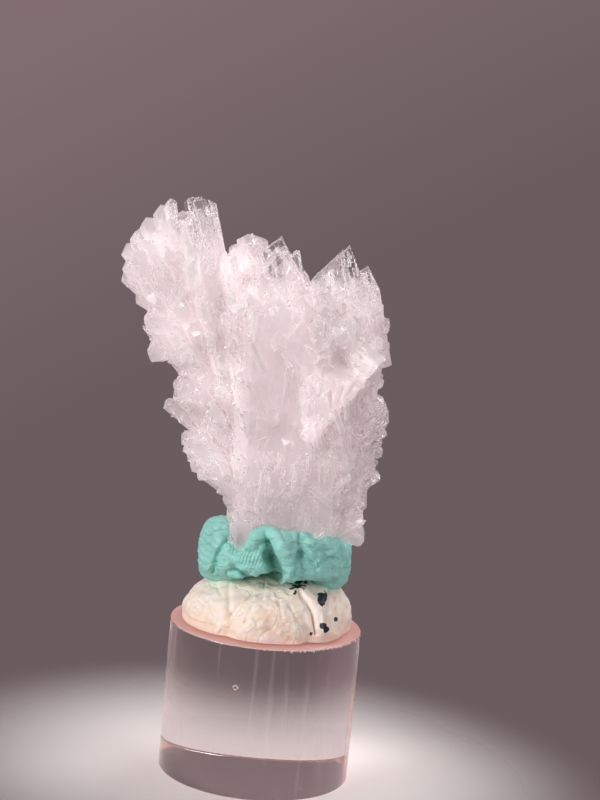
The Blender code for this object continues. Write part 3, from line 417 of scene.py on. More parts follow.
def points_on_sides(rows, count, rng, low):
    """Random points on the crystals' side faces, with the outward normal and the growth direction."""
    area = (rows[:, WIDTH] + rows[:, THICKNESS]) * rows[:, LENGTH]
    owner = rng.choice(len(rows), count, p=area / area.sum())
    one = rng.choice(len(FACE_SHARE), count, p=FACE_SHARE)
    two = (one + 1) % len(FACE_SHARE)
    part = rng.uniform(0, 1, count)
    along, wide, thick = (axis[owner] for axis in crystal_axes(rows))
    base = rows[owner]
    height = rng.uniform(low, 1, count) * base[:, LENGTH]
    across = (CORNER_U[one] * (1 - part) + CORNER_U[two] * part) * base[:, WIDTH]
    through = (CORNER_V[one] * (1 - part) + CORNER_V[two] * part) * base[:, THICKNESS]
    height = np.minimum(height, tip_height(base, across))
    swell = swelling(base, height)
    place = crystal_roots(base, along, wide) + along * height[:, None]
    place += wide * (across * swell)[:, None] + thick * (through * swell)[:, None]
    normal = wide * (CORNER_U[one] + CORNER_U[two])[:, None]
    normal += thick * ((CORNER_V[one] + CORNER_V[two]) / base[:, THICKNESS] * base[:, WIDTH])[:, None]
    normal /= np.linalg.norm(normal, axis=1)[:, None]
    return place, normal, along, owner


def local_places(points, rows):
    """Each point in each crystal's own terms: height, place across, place through, and swelling."""
    along, wide, thick = crystal_axes(rows)
    root = crystal_roots(rows, along, wide)
    height, across, through = (points @ axis.T - (root * axis).sum(-1) for axis in (along, wide, thick))
    return height, across, through, swelling(rows, height)


def buried(points, rows, owner, depth):
    """True where a point lies deeper than depth in a crystal other than its owner.

    A section narrows in a straight line to half its width at its full thickness.
    """
    height, across, through, swell = local_places(points, rows)
    half = rows[:, WIDTH] / 2 * swell - depth
    thin = rows[:, THICKNESS] / 2 * swell - depth
    within = (np.abs(through) < thin) & (height > depth) & (height < tip_height(rows, across) - depth)
    within &= np.abs(across) + np.abs(through) * (0.5 * half / thin) < half
    within[np.arange(len(points)), owner] = False
    return within.any(1)


def seen_over(points, rows, margin):
    """True where a point, looked at from the front, lies over a crystal or within margin of one."""
    height, across, _, swell = local_places(points, rows)
    over = (np.abs(across) < rows[:, WIDTH] / 2 * swell + margin) & (height > -margin)
    return (over & (height < tip_height(rows, across) + margin)).any(1)


def outline_over(found, rows, margin):
    """True where a crystal's tip, shoulders and foot lie over the given ones, looked at from the front."""
    along, wide, _ = crystal_axes(found)
    half = found[:, [WIDTH]] / 2
    shoulder = found[:, TIP] - along * half
    root = crystal_roots(found, along, wide)
    over = seen_over(found[:, TIP], rows, margin)
    for side in (-half, half):
        over &= seen_over(shoulder + wide * side, rows, margin)
        over &= seen_over(root + wide * side * COVER_TAPER, rows, 0)
    return over


def spread(points, spacing):
    """Indices of the points that keep their spacing to those kept before them."""
    kept = np.empty(len(points), int)
    count = 0
    for index, point in enumerate(points):
        if (((points[kept[:count]] - point) ** 2).sum(1) > spacing[index] ** 2).all():
            kept[count] = index
            count += 1
    return kept[:count]


def covering_rows(rows, bounds, tries, how):
    """Rows for smaller crystals that grow out of the faces of the given ones, within the outline of the bounds."""
    rng = np.random.default_rng(how.seed)
    place, normal, growth, owner = points_on_sides(rows, tries, rng, how.low)
    width = rng.uniform(*how.widths, tries)
    length = width * rng.uniform(*how.slender, tries)
    heading = growth + normal * rng.uniform(*how.tilt, tries)[:, None] + rng.normal(0, how.unrest, (tries, 3))
    heading /= np.linalg.norm(heading, axis=1)[:, None]
    tip = place + heading * (length * rng.uniform(*how.stick, tries))[:, None]
    lean = np.degrees(np.arctan2(heading[:, X], heading[:, Z]))
    pitch = np.degrees(np.arcsin(-heading[:, Y]))
    roll, flat, ridge, left, right = (rng.uniform(least, most, tries) for least, most in COVER_SHAPES)
    taper = np.full(tries, COVER_TAPER)
    found = np.stack([*tip.T, lean, pitch, roll, width, width * flat, length, taper, ridge, left, right], -1)
    fit = ~buried(place, rows, owner, how.sunk) & (tip[:, Z] > how.lowest)
    fit &= (np.abs(normal[:, Y]) > how.facing) & (np.abs(tip[:, Y]) < COVER_DEPTH)
    found = found[fit]
    found = found[outline_over(found, bounds, how.overhang)]
    return found[spread(found[:, TIP], how.spacing * found[:, WIDTH])]


def barb_rows():
    """Full rows for the barbs."""
    *most, roll, width = BARBS.T
    same = np.ones(len(BARBS))
    shape = [same * number for number in BARB_SHAPE]
    return np.stack([*most, same * BARB_PITCH, roll, width, width * BARB_FLATNESS, *shape], -1)


def inside_box(rows, lowest, highest):
    """The crystals whose every corner stays in the box, in millimetres."""
    points, _ = crystal_shells(rows)
    return rows[((points > lowest) & (points < highest)).all(axis=(1, 2))]


def ramp(value, start, end):
    """Smooth step from 0 at start to 1 at end, which may be below the start."""
    share = np.clip((value - start) / (end - start), 0, 1)
    return share * share * (3 - 2 * share)


def in_soft_box(points, box):
    """Share by which points lie in a soft-edged box: the product of its ramps."""
    return math.prod(ramp(points[:, axis], outside, inside) for axis, outside, inside in box)


def thinned(rows, seed):
    """Fewer small crystals on the clear tips, on the smooth middle of the front and on the wing's smooth face."""
    tip = rows[:, TIP]
    clear_line = CLEAR_LINE.right + CLEAR_LINE.rise * ramp(tip[:, X], *CLEAR_LINE.between)
    tips = LEFT_OUT.tips * ramp(tip[:, Z] - clear_line, *CLEAR_LINE.blur) * (1 - in_soft_box(tip, KNOB_BOX))
    middle = LEFT_OUT.middle * in_soft_box(tip, MIDDLE_BOX)
    wing = LEFT_OUT.wing * in_soft_box(tip, WING_BOX)
    drop = np.maximum(tips, np.maximum(middle, wing))
    return rows[np.random.default_rng(seed).uniform(0, 1, len(rows)) > drop]


def bumps(heading, entries):
    """Sum of smooth bumps round the axis: size times exp(-(angle from the middle / half spread) squared)."""
    apart = [(heading - middle + 180) % 360 - 180 for middle, _, _ in entries]
    return sum(size * np.exp(-(gap / half) ** 2) for gap, (_, half, size) in zip(apart, entries))


def waves(points, entries):
    """Smooth noise: for each height, length and seed a sum of sine waves of about that length, any direction."""
    total = 0
    for height, length, seed in entries:
        rng = np.random.default_rng(seed)
        rough = np.zeros(points.shape[:-1])
        for _ in range(WAVE_COUNT):
            direction = rng.normal(size=3)
            direction *= 2 * math.pi / (np.linalg.norm(direction) * length * rng.uniform(*WAVE_SPREAD))
            rough += np.sin(points @ direction + rng.uniform(0, 2 * math.pi))
        total = total + height * rough / math.sqrt(WAVE_COUNT)
    return total


def strokes(x, z, entries):
    """Height of drawn creases and rolls: for each, height times exp(-(distance to it / half width) squared)."""
    total = np.zeros(x.shape)
    for line, half, height in entries:
        nearest = np.full(x.shape, np.inf)
        for (ax, az), (bx, bz) in zip(line[:-1], line[1:]):
            dx, dz = bx - ax, bz - az
            share = np.clip(((x - ax) * dx + (z - az) * dz) / (dx * dx + dz * dz), 0, 1)
            nearest = np.minimum(nearest, (x - ax - share * dx) ** 2 + (z - az - share * dz) ** 2)
        total += height * np.exp(-nearest / half ** 2)
    return total


def drawn(grid, front, back):
    """Strokes on the front and on the back of a piece, which fade out towards its sides."""
    x, y, z = np.moveaxis(grid, -1, 0)
    return strokes(x, z, front) * ramp(-y, *STROKE_FADE) + strokes(x, z, back) * ramp(y, *STROKE_FADE)


def pits(x, z, how):
    """Small round pits scattered over a stretch of the front."""
    rng = np.random.default_rng(how.seed)
    total = np.zeros(x.shape)
    for middle_x, middle_z in zip(rng.uniform(*how.x, how.count), rng.uniform(*how.z, how.count)):
        radius = rng.uniform(*how.radius)
        total -= how.depth * radius * np.exp(-((x - middle_x) ** 2 + (z - middle_z) ** 2) / radius ** 2)
    return total


def even_profile(wide_power, high_power, low, count):
    """Points evenly spaced along a squared-off half circle, from the top pole down to the angle low.

    Each is (sine to the wide power, signed cosine to the high power), in columns.
    """
    angle = np.linspace(POLE, low, PROFILE_STEPS)
    level = np.sin(angle) ** wide_power
    height = np.sign(np.cos(angle)) * np.abs(np.cos(angle)) ** high_power
    path = np.concatenate([[0], np.cumsum(np.hypot(np.diff(level), np.diff(height)))])
    even = np.linspace(0, path[-1], count)
    return np.interp(even, path, level)[:, None], np.interp(even, path, height)[:, None]


def round_grid(radius, angle, rise, half=(1, 1), middle=0.0):
    """A grid of rows by columns round an upright axis, from radii, headings and heights; half squashes it."""
    x, y = middle + half[0] * radius * np.cos(angle), half[1] * radius * np.sin(angle)
    return np.stack([x, y, rise + 0 * x], -1)


def pushed(grid, skin):
    """The grid, which closes on itself column-wise, moved along its outward normals."""
    normal = np.cross(np.gradient(grid, axis=0), np.roll(grid, -1, axis=1) - np.roll(grid, 1, axis=1))
    normal /= np.maximum(np.linalg.norm(normal, axis=-1, keepdims=True), POLE ** 2)
    return grid + normal * skin[..., None]


def headings(columns):
    """Even headings round the axis, in degrees and in radians."""
    degrees = np.linspace(0, 360, columns, endpoint=False)[None]
    return degrees, np.radians(degrees)


def tack_grid(fingerprint):
    """The folded band: a squared-off ball whose radius and height swell by bumps round the axis.

    The upper face sinks to a bowl round the crystals, drawn creases and rolls push the skin in and out, and
    the left of the front carries fine ridges, where the band was pressed by a fingertip.
    """
    degrees, angle = headings(TACK.columns)
    level, height = even_profile(TACK.level_power, TACK.height_power, math.pi - POLE, TACK.rows)
    folds = [(middle + shift * height, half, size) for middle, half, size, shift in TACK_FOLDS]
    side = level * (1 + bumps(degrees, folds) * level ** 2)
    front = np.maximum(0, -np.sin(angle))
    top = TACK.top + bumps(degrees, TACK_RIM) * level
    bottom = TACK.bottom + TACK.front_lift * front ** TACK.lift_power + bumps(degrees, TACK_UNDERSIDE)
    rise = (top + bottom) / 2 + (top - bottom) / 2 * height
    rise = rise - TACK_BOWL.depth * ramp(height, *TACK_BOWL.height) * ramp(level, *TACK_BOWL.level)
    grid = round_grid(side, angle, rise, TACK.half, TACK.middle)
    x, y, z = np.moveaxis(grid, -1, 0)
    pressed = sum(share * ramp(side * y, *PRESS_FADE)
                  * np.exp(-((x - mid_x) / wide) ** 2 - ((z - mid_z) / high) ** 2)
                  for share, side, mid_x, wide, mid_z, high in TACK_PRESSES)
    slanted = x - FINGERPRINT.slant * (z - FINGERPRINT.middle) + waves(grid, FINGERPRINT.waver)
    ridges = np.sin(2 * math.pi * slanted / FINGERPRINT.pitch)
    skin = drawn(grid, TACK_STROKES, TACK_BACK_STROKES) + waves(grid, TACK_WAVES)
    skin += fingerprint * pressed * ridges + pits(x, z, TACK_PITS) * ramp(-y, *TACK_PITS.fade)
    return pushed(grid, skin)


def crumb_grid():
    """A small ball, squashed and made lumpy by waves."""
    level, height = even_profile(1, 1, math.pi - POLE, CRUMB.rows)
    ball = round_grid(level, headings(CRUMB.columns)[1], height)
    return CRUMB.middle + ball * CRUMB.half * (1 + waves(ball, CRUMB.waves))[..., None]


def putty_grid():
    """The mound: a squared-off half ball, steeper on the right, with lobes, drawn folds and a flat foot."""
    degrees, angle = headings(PUTTY.columns)
    level, height = even_profile(PUTTY.power, PUTTY.power, math.pi / 2, PUTTY.rows)
    reach = PUTTY.radius * level * (1 + bumps(degrees, PUTTY_FOLDS) * level ** 2)
    rise = PUTTY.height * (1 + PUTTY.lean * level * np.cos(angle)) * height
    grid = round_grid(reach, angle, PUTTY.foot + rise)
    x, y, _ = np.moveaxis(grid, -1, 0)
    strip = PUTTY_STRIP.share * np.exp(-((x - PUTTY_STRIP.middle) / PUTTY_STRIP.half) ** 2)
    calm = 1 - strip * ramp(-y, *PUTTY_STRIP.fade)
    skin = drawn(grid, PUTTY_STROKES, PUTTY_BACK_STROKES) + waves(grid, PUTTY_WAVES) * calm
    return pushed(grid, np.minimum(skin * ramp(height, *PUTTY.foot_calm), PUTTY.highest))


def cylinder_grid(radius, height, edge):
    """The cylinder's rings, from the middle of the top round the edge break down to the middle of the foot."""
    turn = np.radians(np.linspace(0, 90, CYLINDER.edge_steps))
    edge_break = [(radius - edge + edge * math.sin(a), height - edge + edge * math.cos(a)) for a in turn]
    profile = [(radius * share, height) for share in CYLINDER.top] + edge_break
    profile += [(radius, height * share) for share in CYLINDER.side]
    profile += [(ring, height - up) for ring, up in reversed(edge_break)]
    profile += [(radius * share, 0.0) for share in CYLINDER.foot]
    ring, up = np.array(profile).T[..., None]
    return round_grid(ring, headings(CYLINDER.columns)[1], up)


def closed_grid(grid):
    """Vertices, corner counts and corners of a grid that closes column-wise, with a pole at each end."""
    rows, columns = grid.shape[:2]
    poles = np.stack([grid[0].mean(0), grid[-1].mean(0)])
    points = np.concatenate([grid.reshape(-1, 3), poles])
    here = np.arange(rows * columns).reshape(rows, columns)
    beside = np.roll(here, -1, axis=1)
    quads = np.stack([here[:-1], here[1:], beside[1:], beside[:-1]], -1).reshape(-1, 4)
    top = np.stack([np.full(columns, len(points) - 2), here[0], beside[0]], -1)
    bottom = np.stack([here[-1], np.full(columns, len(points) - 1), beside[-1]], -1)
    corners = np.concatenate([quads.ravel(), top.ravel(), bottom.ravel()])
    return points, np.repeat([4, 3], [len(quads), 2 * columns]), corners


def joined(*shells):
    """Several closed grids as one mesh."""
    starts = np.cumsum([0] + [len(points) for points, _, _ in shells[:-1]])
    points, counts, corners = zip(*shells)
    return (np.concatenate(points), np.concatenate(counts),
            np.concatenate([corner + start for corner, start in zip(corners, starts)]))


def put_mesh(name, points, counts, corners, smooth, values=None):
    """A new object at the origin from arrays in millimetres, with float attributes on its vertices."""
    mesh = bpy.data.meshes.new(name)
    mesh.vertices.add(len(points))
    mesh.vertices.foreach_set("co", (np.asarray(points) * MM).astype(np.float32).ravel())
    mesh.loops.add(len(corners))
    mesh.loops.foreach_set("vertex_index", np.asarray(corners, np.int32))
    mesh.polygons.add(len(counts))
    mesh.polygons.foreach_set("loop_start", np.concatenate([[0], np.cumsum(counts)[:-1]]).astype(np.int32))
    mesh.polygons.foreach_set("use_smooth", np.full(len(counts), smooth))
    mesh.update(calc_edges=True)
    for key, array in (values or {}).items():
        mesh.attributes.new(key, "FLOAT", "POINT").data.foreach_set("value", array.astype(np.float32).ravel())
    mesh.validate()
    piece = bpy.data.objects.new(name, mesh)
    bpy.context.scene.collection.objects.link(piece)
    return piece


def maths(operation, swapped=False):
    """A method of a wire that adds a Math node."""
    def method(wire, other=0.0):
        first, second = (other, wire) if swapped else (wire, other)
        return wire.finish.node("ShaderNodeMath", {"operation": operation}, {0: first, 1: second})
    return method


class Wire:
    """An output socket of a finish; Python's operators on wires add Math nodes."""

    def __init__(self, finish, output):
        self.finish = finish
        self.output = output

    __add__, __radd__ = maths("ADD"), maths("ADD", True)
    __sub__, __rsub__ = maths("SUBTRACT"), maths("SUBTRACT", True)
    __mul__, __rmul__ = maths("MULTIPLY"), maths("MULTIPLY", True)
    __pow__, __abs__ = maths("POWER"), maths("ABSOLUTE")
    at_least, at_most = maths("MAXIMUM"), maths("MINIMUM")

    def clamped(self, low=0.0, high=1.0):
        """The number, kept between low and high."""
        return self.at_least(low).at_most(high)


class Finish:
    """The node tree of a material or a world, and the one method that adds a node to it."""

    def __init__(self, owner):
        self.owner = owner
        owner.use_nodes = True
        self.tree = owner.node_tree
        self.tree.nodes.clear()

    def node(self, kind, settings=None, inputs=None, output=0):
        """Adds a node: its settings first, then its sockets' links or values, a colour as three numbers."""
        node = self.tree.nodes.new(kind)
        for key, value in (settings or {}).items():
            setattr(node, key, value)
        for key, value in (inputs or {}).items():
            socket = node.inputs[key]
            if isinstance(value, Wire):
                self.tree.links.new(value.output, socket)
            else:
                socket.default_value = (*value, 1) if socket.type == "RGBA" else value
        return Wire(self, node.outputs[output] if node.outputs else None)

    def place(self, kind="Object"):
        """The piece's own coordinates, in metres, or another kind."""
        return self.node("ShaderNodeTexCoord", output=kind)

    def axes(self, vector):
        """The three numbers of a vector."""
        split = self.node("ShaderNodeSeparateXYZ", inputs={0: vector})
        return [Wire(self, output) for output in split.output.node.outputs]

    def vector(self, *numbers):
        """A vector of three numbers."""
        return self.node("ShaderNodeCombineXYZ", inputs=dict(enumerate(numbers)))

    def scaled(self, vector, *factors):
        """A vector times three factors."""
        return self.node("ShaderNodeVectorMath", {"operation": "MULTIPLY"}, {0: vector, 1: factors})

    def measure(self, operation, *vectors):
        """One number from one or two vectors."""
        return self.node("ShaderNodeVectorMath", {"operation": operation}, dict(enumerate(vectors)), "Value")

    def noise(self, vector, size, detail=2.0, roughness=0.5):
        """Noise from 0 to 1 with features of about the given size in metres."""
        values = {"Vector": vector, "Scale": 1 / size, "Detail": detail, "Roughness": roughness}
        return self.node("ShaderNodeTexNoise", inputs=values)

    def facets(self, vector, size):
        """Small raised facets: cells of the given size, taller than wide, flat-topped with sloping sides."""
        values = {"Vector": self.scaled(vector, *FACET_STRETCH), "Scale": 1 / size, "Randomness": 1.0}
        return 1 - self.node("ShaderNodeTexVoronoi", {"distance": "CHEBYCHEV"}, values).at_least(FACET_TOP)

    def attribute(self, name):
        """A float attribute of the piece."""
        return self.node("ShaderNodeAttribute", {"attribute_name": name}, output="Fac")

    def step(self, value, start, end):
        """Smooth step from 0 at start to 1 at end."""
        return self.node("ShaderNodeMapRange", {"interpolation_type": "SMOOTHSTEP"},
                         {"Value": value, "From Min": start, "From Max": end})

    def box(self, axes, spans):
        """Share by which a place lies in a soft-edged box, given as axis, outside and inside in metres."""
        steps = [self.step(axes[axis], outside, inside) for axis, outside, inside in spans]
        return math.prod(steps[1:], start=steps[0])

    def near(self, flat, point, reach):
        """1 at a point, given in millimetres, falling to 0 at the reach, on a place whose y is halved or flat."""
        x, y, z = point
        away = self.measure("DISTANCE", flat, (MM * x, MM * y / 2, MM * z))
        return self.step(away, reach * MM, SPOT_CORE * reach * MM)

    def spots(self, flat, entries):
        """Sum of soft spots, given as x, y, z, reach and share, on a place whose y is halved or flat."""
        total = 0.0
        for *point, reach, share in entries:
            total = share * self.near(flat, point, reach) + total
        return total

    def threads(self, vector, kinds):
        """Thin winding lines, where noise passes close to its middle value: size, width and share of each kind."""
        total = 0.0
        for size, width, share in kinds:
            apart = abs(self.noise(vector, size, 1.0) - 0.5)
            total = share * self.step(apart, width, THREAD_CORE * width) + total
        return total

    def left_of(self, place, line):
        """Metres to the left of a line, given by two points in millimetres and seen from the camera's height."""
        start, end = np.array(line)
        across = np.cross(end - start, (0, math.cos(VIEW_ELEVATION), -math.sin(VIEW_ELEVATION)))
        across /= np.linalg.norm(across)
        return self.measure("DOT_PRODUCT", place, tuple(across)) - MM * float(across @ start)

    def blend(self, share, first, second):
        """Colour between two colours."""
        return self.node("ShaderNodeMix", {"data_type": "RGBA"}, {"Factor": share, 6: first, 7: second}, 2)

    def layered(self, colour, value, layer):
        """A colour under a layer that shows with the value."""
        span, share, tint = layer
        return self.blend(self.step(value, *span) * share, colour, tint)

    def relief(self, *heights):
        """Normal from height fields, each given with its distance in metres and its strength."""
        normal = {}
        for height, distance, strength in heights:
            values = {"Height": height, "Distance": distance, "Strength": strength, **normal}
            normal = {"Normal": self.node("ShaderNodeBump", inputs=values)}
        return normal["Normal"]

    def kneaded(self, place, fine, look):
        """Normal of a kneaded skin: a fine grain, lumps and thin creases."""
        creases = self.threads(self.scaled(place, *look.stretch), look.creases)
        return self.relief((fine, *look.fine_relief), (self.noise(place, look.lumps), *look.lump_relief),
                           (1 - creases, *look.crease_relief))

    def shader(self, **values):
        """A Principled shader; an underscore in a name stands for a space."""
        return self.node("ShaderNodeBsdfPrincipled",
                         inputs={key.replace("_", " "): value for key, value in values.items()})

    def mix(self, share, first, second):
        """Mix of two shaders."""
        return self.node("ShaderNodeMixShader", inputs={0: share, 1: first, 2: second})

    def lamp_lit(self, shader, tint):
        """The shader, but let lamp light through with a tint, so that it reaches what is behind."""
        shadow = self.node("ShaderNodeLightPath", output="Is Shadow Ray")
        return self.mix(shadow, shader, self.node("ShaderNodeBsdfTransparent", inputs={0: tint}))

    def done(self, shader, kind="ShaderNodeOutputMaterial"):
        """Connects the surface and gives the material or world."""
        self.node(kind, inputs={"Surface": shader})
        return self.owner


# Finishes, in metres. Noises are size, detail and roughness; threads are size, width and share; reliefs are
# distance and strength; layers of colour are the values between which they show, their share and their colour

# The flap in front: its lower edge and its left edge, in millimetres and in the line of sight, how ragged they
# are, and what it adds to milkiness and, as a painted highlight, to the painted light of the milky colour
FLAP = Values(edge=((3.57, -8.5, 45.7), (12.05, -8.5, 56.97)), side=((1.55, -8.5, 51.44), (2.61, -8.5, 46.6)),
              ragged=0.0010, ragged_size=0.0011, crisp=(-0.0001, 0.0001), milk=0.1, tone=0.25, mottle=1.2,
              box=[(Y, -0.005, -0.0065), (Z, 0.060, 0.054)])
# Painted shade under the flap and beside it
PAINTED_SHADE_UNDER = Values(reach=(-0.0045, -0.0004), tone=0.6, box=[(X, 0.0030, 0.0044), (Y, -0.002, -0.004)])
PAINTED_SHADE_BESIDE = Values(reach=(-0.0014, -0.0002), tone=0.3, box=[(Z, 0.053, 0.050), (Y, -0.004, -0.006)])
MILK = Values(cloud=0.0030, clouding=0.50, graining=0.25, least_change=0.2, limits=(0.003, 0.97))
# Fine threads in the clear crystal, seen through it
THREADS = Values(kinds=[(0.0020, 0.016, 1.0), (0.0011, 0.012, 0.7)], share=0.5, fade=3.0, depth=0.15)
# Lines along each crystal, and facets on it, which are lower where it is clear
LINES = Values(by_grain=0.3, by_height=0.06, size=0.00022, relief=(0.00004, 0.5))
FACETS = [(0.0010, 0.00020, 0.5), (0.00045, 0.00010, 0.55)]
FACET_STRETCH, FACET_TOP = (1.0, 1.0, 0.5), 0.3
FACET_CALM, CALM_MILK = 0.3, (0.02, 0.30)
MOTTLE, MOTTLE_TONE = (0.0008, 2.0, 0.6), 0.4
CRYSTAL_ROUGHNESS = Values(least=0.03, by_grain=0.07, milky=0.25)
CRYSTAL_SHADOW, GLOW_SHARE = (0.90, 0.888, 0.89), 0.5


def crystal_finish(options):
    """Clear glassy tips that turn milky down the body, with fine lines along each crystal, and painted light and
    shade in the milky colour.
    """
    f = Finish(bpy.data.materials.new("creedite"))
    place = f.place()
    axes = x, y, z = f.axes(place)
    grain, across, milk = f.attribute("grain"), f.attribute("across"), f.attribute("milk")
    flat = f.scaled(place, 1.0, 0.5, 1.0)
    for *point, reach, share in CLEAR_SPOTS:
        milk = milk * (1 - share * f.near(flat, point, reach))
    above, inside = f.left_of(place, FLAP.edge), f.left_of(place, FLAP.side)
    ragged = FLAP.ragged * (f.noise(place, FLAP.ragged_size) - 0.5)
    on_flap, past_side = f.step(above + ragged, *FLAP.crisp), f.step(inside + ragged, *FLAP.crisp)
    flap = on_flap * past_side * f.box(axes, FLAP.box)
    # under and beside: masks of the painted shade below the flap's lower edge and beside its left edge
    under = (1 - on_flap) * f.step(above, *PAINTED_SHADE_UNDER.reach) * f.box(axes, PAINTED_SHADE_UNDER.box)
    beside = (1 - past_side) * f.step(inside, *PAINTED_SHADE_BESIDE.reach) * on_flap * f.box(axes, PAINTED_SHADE_BESIDE.box)
    milk = milk + f.spots(flat, WHITE_SPOTS) + FLAP.milk * flap
    uneven = (f.noise(place, MILK.cloud) - 0.5) * MILK.clouding + (grain - 0.5) * MILK.graining
    milk = (milk + uneven * (MILK.least_change + milk)).clamped(*MILK.limits)
    calm = FACET_CALM + (1 - FACET_CALM) * f.step(milk, *CALM_MILK)
    through = f.vector(x, y * THREADS.depth, z + y * math.tan(VIEW_ELEVATION))
    threads = THREADS.share * f.threads(through, THREADS.kinds) * (1 - milk) ** THREADS.fade
    milk = (milk + threads).clamped(*MILK.limits)
    lines = f.noise(f.vector(across, grain * LINES.by_grain, z * LINES.by_height), LINES.size)
    facets = [(f.facets(place, size) * calm, *relief) for size, *relief in FACETS]
    normal = f.relief((lines, *LINES.relief), *facets)
    rough = CRYSTAL_ROUGHNESS.least + CRYSTAL_ROUGHNESS.by_grain * grain
    glass = f.shader(Base_Color=options.glass_colour, Transmission_Weight=1.0, IOR=options.refraction,
                     Roughness=rough, Normal=normal)
    mottle = f.noise(place, *MOTTLE) - 0.5
    # Painted light and shade in the milky colour: brighter and darker spots, a painted highlight on the flap and
    # painted shade under and beside it, with random mottle
    tone = f.spots(flat, PAINTED_LIGHT_SPOTS) + MOTTLE_TONE * mottle + flap * (FLAP.tone + FLAP.mottle * mottle)
    tone = tone - PAINTED_SHADE_UNDER.tone * under - PAINTED_SHADE_BESIDE.tone * beside
    colour = f.blend((0.5 + 0.5 * tone).clamped(), options.painted_shade_and_mottle_colour, options.painted_light_and_mottle_colour)
    white = f.shader(Base_Color=colour, Roughness=rough + CRYSTAL_ROUGHNESS.milky, IOR=options.refraction,
                     Normal=normal)
    glowing = f.node("ShaderNodeBsdfTranslucent", inputs={0: options.glow_colour, "Normal": normal})
    milky = f.mix(GLOW_SHARE, white, glowing)
    return f.done(f.lamp_lit(f.mix(milk, glass, milky), CRYSTAL_SHADOW))


TACK_LOOK = Values(
    cloud=(0.0035, 3.0), contrast=1.4, darker=0.2, pale=((0.60, 0.85), 0.25, (0.55, 0.82, 0.76)),
    # hollow: the colour, front box and strongest share of the painted shade in the hollows
    hollow=(0.045, 0.20, 0.155), hollow_box=[(Y, -0.003, -0.006)], hollow_most=0.85,
    speck_noise=(0.00055, 1.0), specks=((0.73, 0.78), 0.8, (0.05, 0.16, 0.14)),
    fine=(0.0004, 3.0, 0.6), fine_relief=(0.00005, 0.6), lumps=0.0012, lump_relief=(0.00010, 0.35),
    stretch=(0.6, 0.6, 1.6), creases=[(0.0040, 0.030, 1.0), (0.0016, 0.024, 0.6)], crease_relief=(0.00012, 0.7),
    roughness=0.50, cloud_roughness=0.15, scattered=0.12, scatter_reach=0.0006)


def tack_finish(options):
    """Matte putty-like tack, paler on its rolls, with a fine grain, small dark pits and painted shade in its
    hollows.
    """
    f, look = Finish(bpy.data.materials.new("mineral tack")), TACK_LOOK
    place = f.place()
    cloud, fine = f.noise(place, *look.cloud), f.noise(place, *look.fine)
    colour = f.blend((cloud * look.contrast - look.darker).clamped(), options.shade, options.light)
    colour = f.layered(colour, fine, look.pale)
    # Painted shade: darker in the tack's hollows, on its front
    depth = f.spots(f.scaled(place, 1.0, 0.0, 1.0), HOLLOW_SHADE_SPOTS) * f.box(f.axes(place), look.hollow_box)
    colour = f.blend(depth.clamped(0, look.hollow_most), colour, look.hollow)
    colour = f.layered(colour, f.noise(place, *look.speck_noise), look.specks)
    return f.done(f.shader(Base_Color=colour, Roughness=look.roughness + look.cloud_roughness * cloud,
                           Normal=f.kneaded(place, fine, look), Subsurface_Weight=look.scattered,
                           Subsurface_Scale=look.scatter_reach))


PUTTY_LOOK = Values(
    front=(-0.001, -0.003), cloud=(0.0028, 3.0), warm=(0.38, 0.68),
    rosy=((0.0235, 0.0262), 0.7, (1.0, 0.835, 0.745)), tan=((0.0228, 0.0202), 0.75, (0.90, 0.66, 0.53)),
    blotch=(0.0011, 3.0, 0.7), blotched=(0.28, 0.72), stain_share=0.75, stain_most=0.7,
    smear=(0.90, 0.72, 0.70), smear_share=0.8, smear_gloss=0.7, film=(0.84, 0.76, 0.80), film_share=0.20,
    film_box=[(X, 0.0060, 0.0065), (X, 0.0082, 0.0076), (Z, 0.0262, 0.0256)],
    # The dark colour and ragged shape of the ink marks and of the painted shadow under the tack
    mark=(0.012, 0.014, 0.022), mark_noise=0.0006, mark_raggedness=1.6, marked=(0.42, 0.52),
    mark_within=(0.02, 0.10), mark_gloss=0.15, fine=(0.0005, 3.0, 0.6), fine_relief=(0.00006, 0.5),
    lumps=0.0013, lump_relief=(0.00012, 0.4), stretch=(1.2, 1.2, 0.6), creases=[(0.0040, 0.025, 1.0)],
    crease_relief=(0.00012, 0.6),
    roughness=0.55, gloss_smooths=0.42, coat=0.8, coat_roughness=0.08, scattered=0.15, scatter_reach=0.0008)
# Soft shapes stretched in x: factors, middle with x times its factor, reach
STAIN, SMEAR = ((0.6, 0.0, 1.0), (0.75, 0, 22.4), 2.6), ((0.35, 0.0, 1.0), (0.24, 0, 20.75), 0.75)
# Smaller stains: x, y, z, reach, share, and the fine noise between which they show
SMALL_STAINS = [
    (4.0, 0, 22.2, 2.6, 0.5, (0.45, 0.7)), (-2.0, 0, 25.8, 2.2, 0.45, (0.5, 0.7)),
    (0.4, 0, 25.6, 1.2, 0.5, (0.5, 0.7)),
]
# Dark ink specks, and two spots of painted shadow under the tack's block (at x 3.3 and 4.3): x, y, z, reach, share
INK_MARKS_AND_PAINTED_SHADOW = [
    (6.9, 0, 25.4, 0.95, 1.0), (7.3, 0, 22.5, 0.65, 1.0), (7.8, 0, 22.0, 0.55, 1.0), (8.9, 0, 22.8, 0.45, 0.9),
    (3.3, 0, 26.5, 1.0, 0.55), (4.3, 0, 26.8, 0.9, 0.5), (5.9, 0, 21.5, 0.35, 0.5),
]


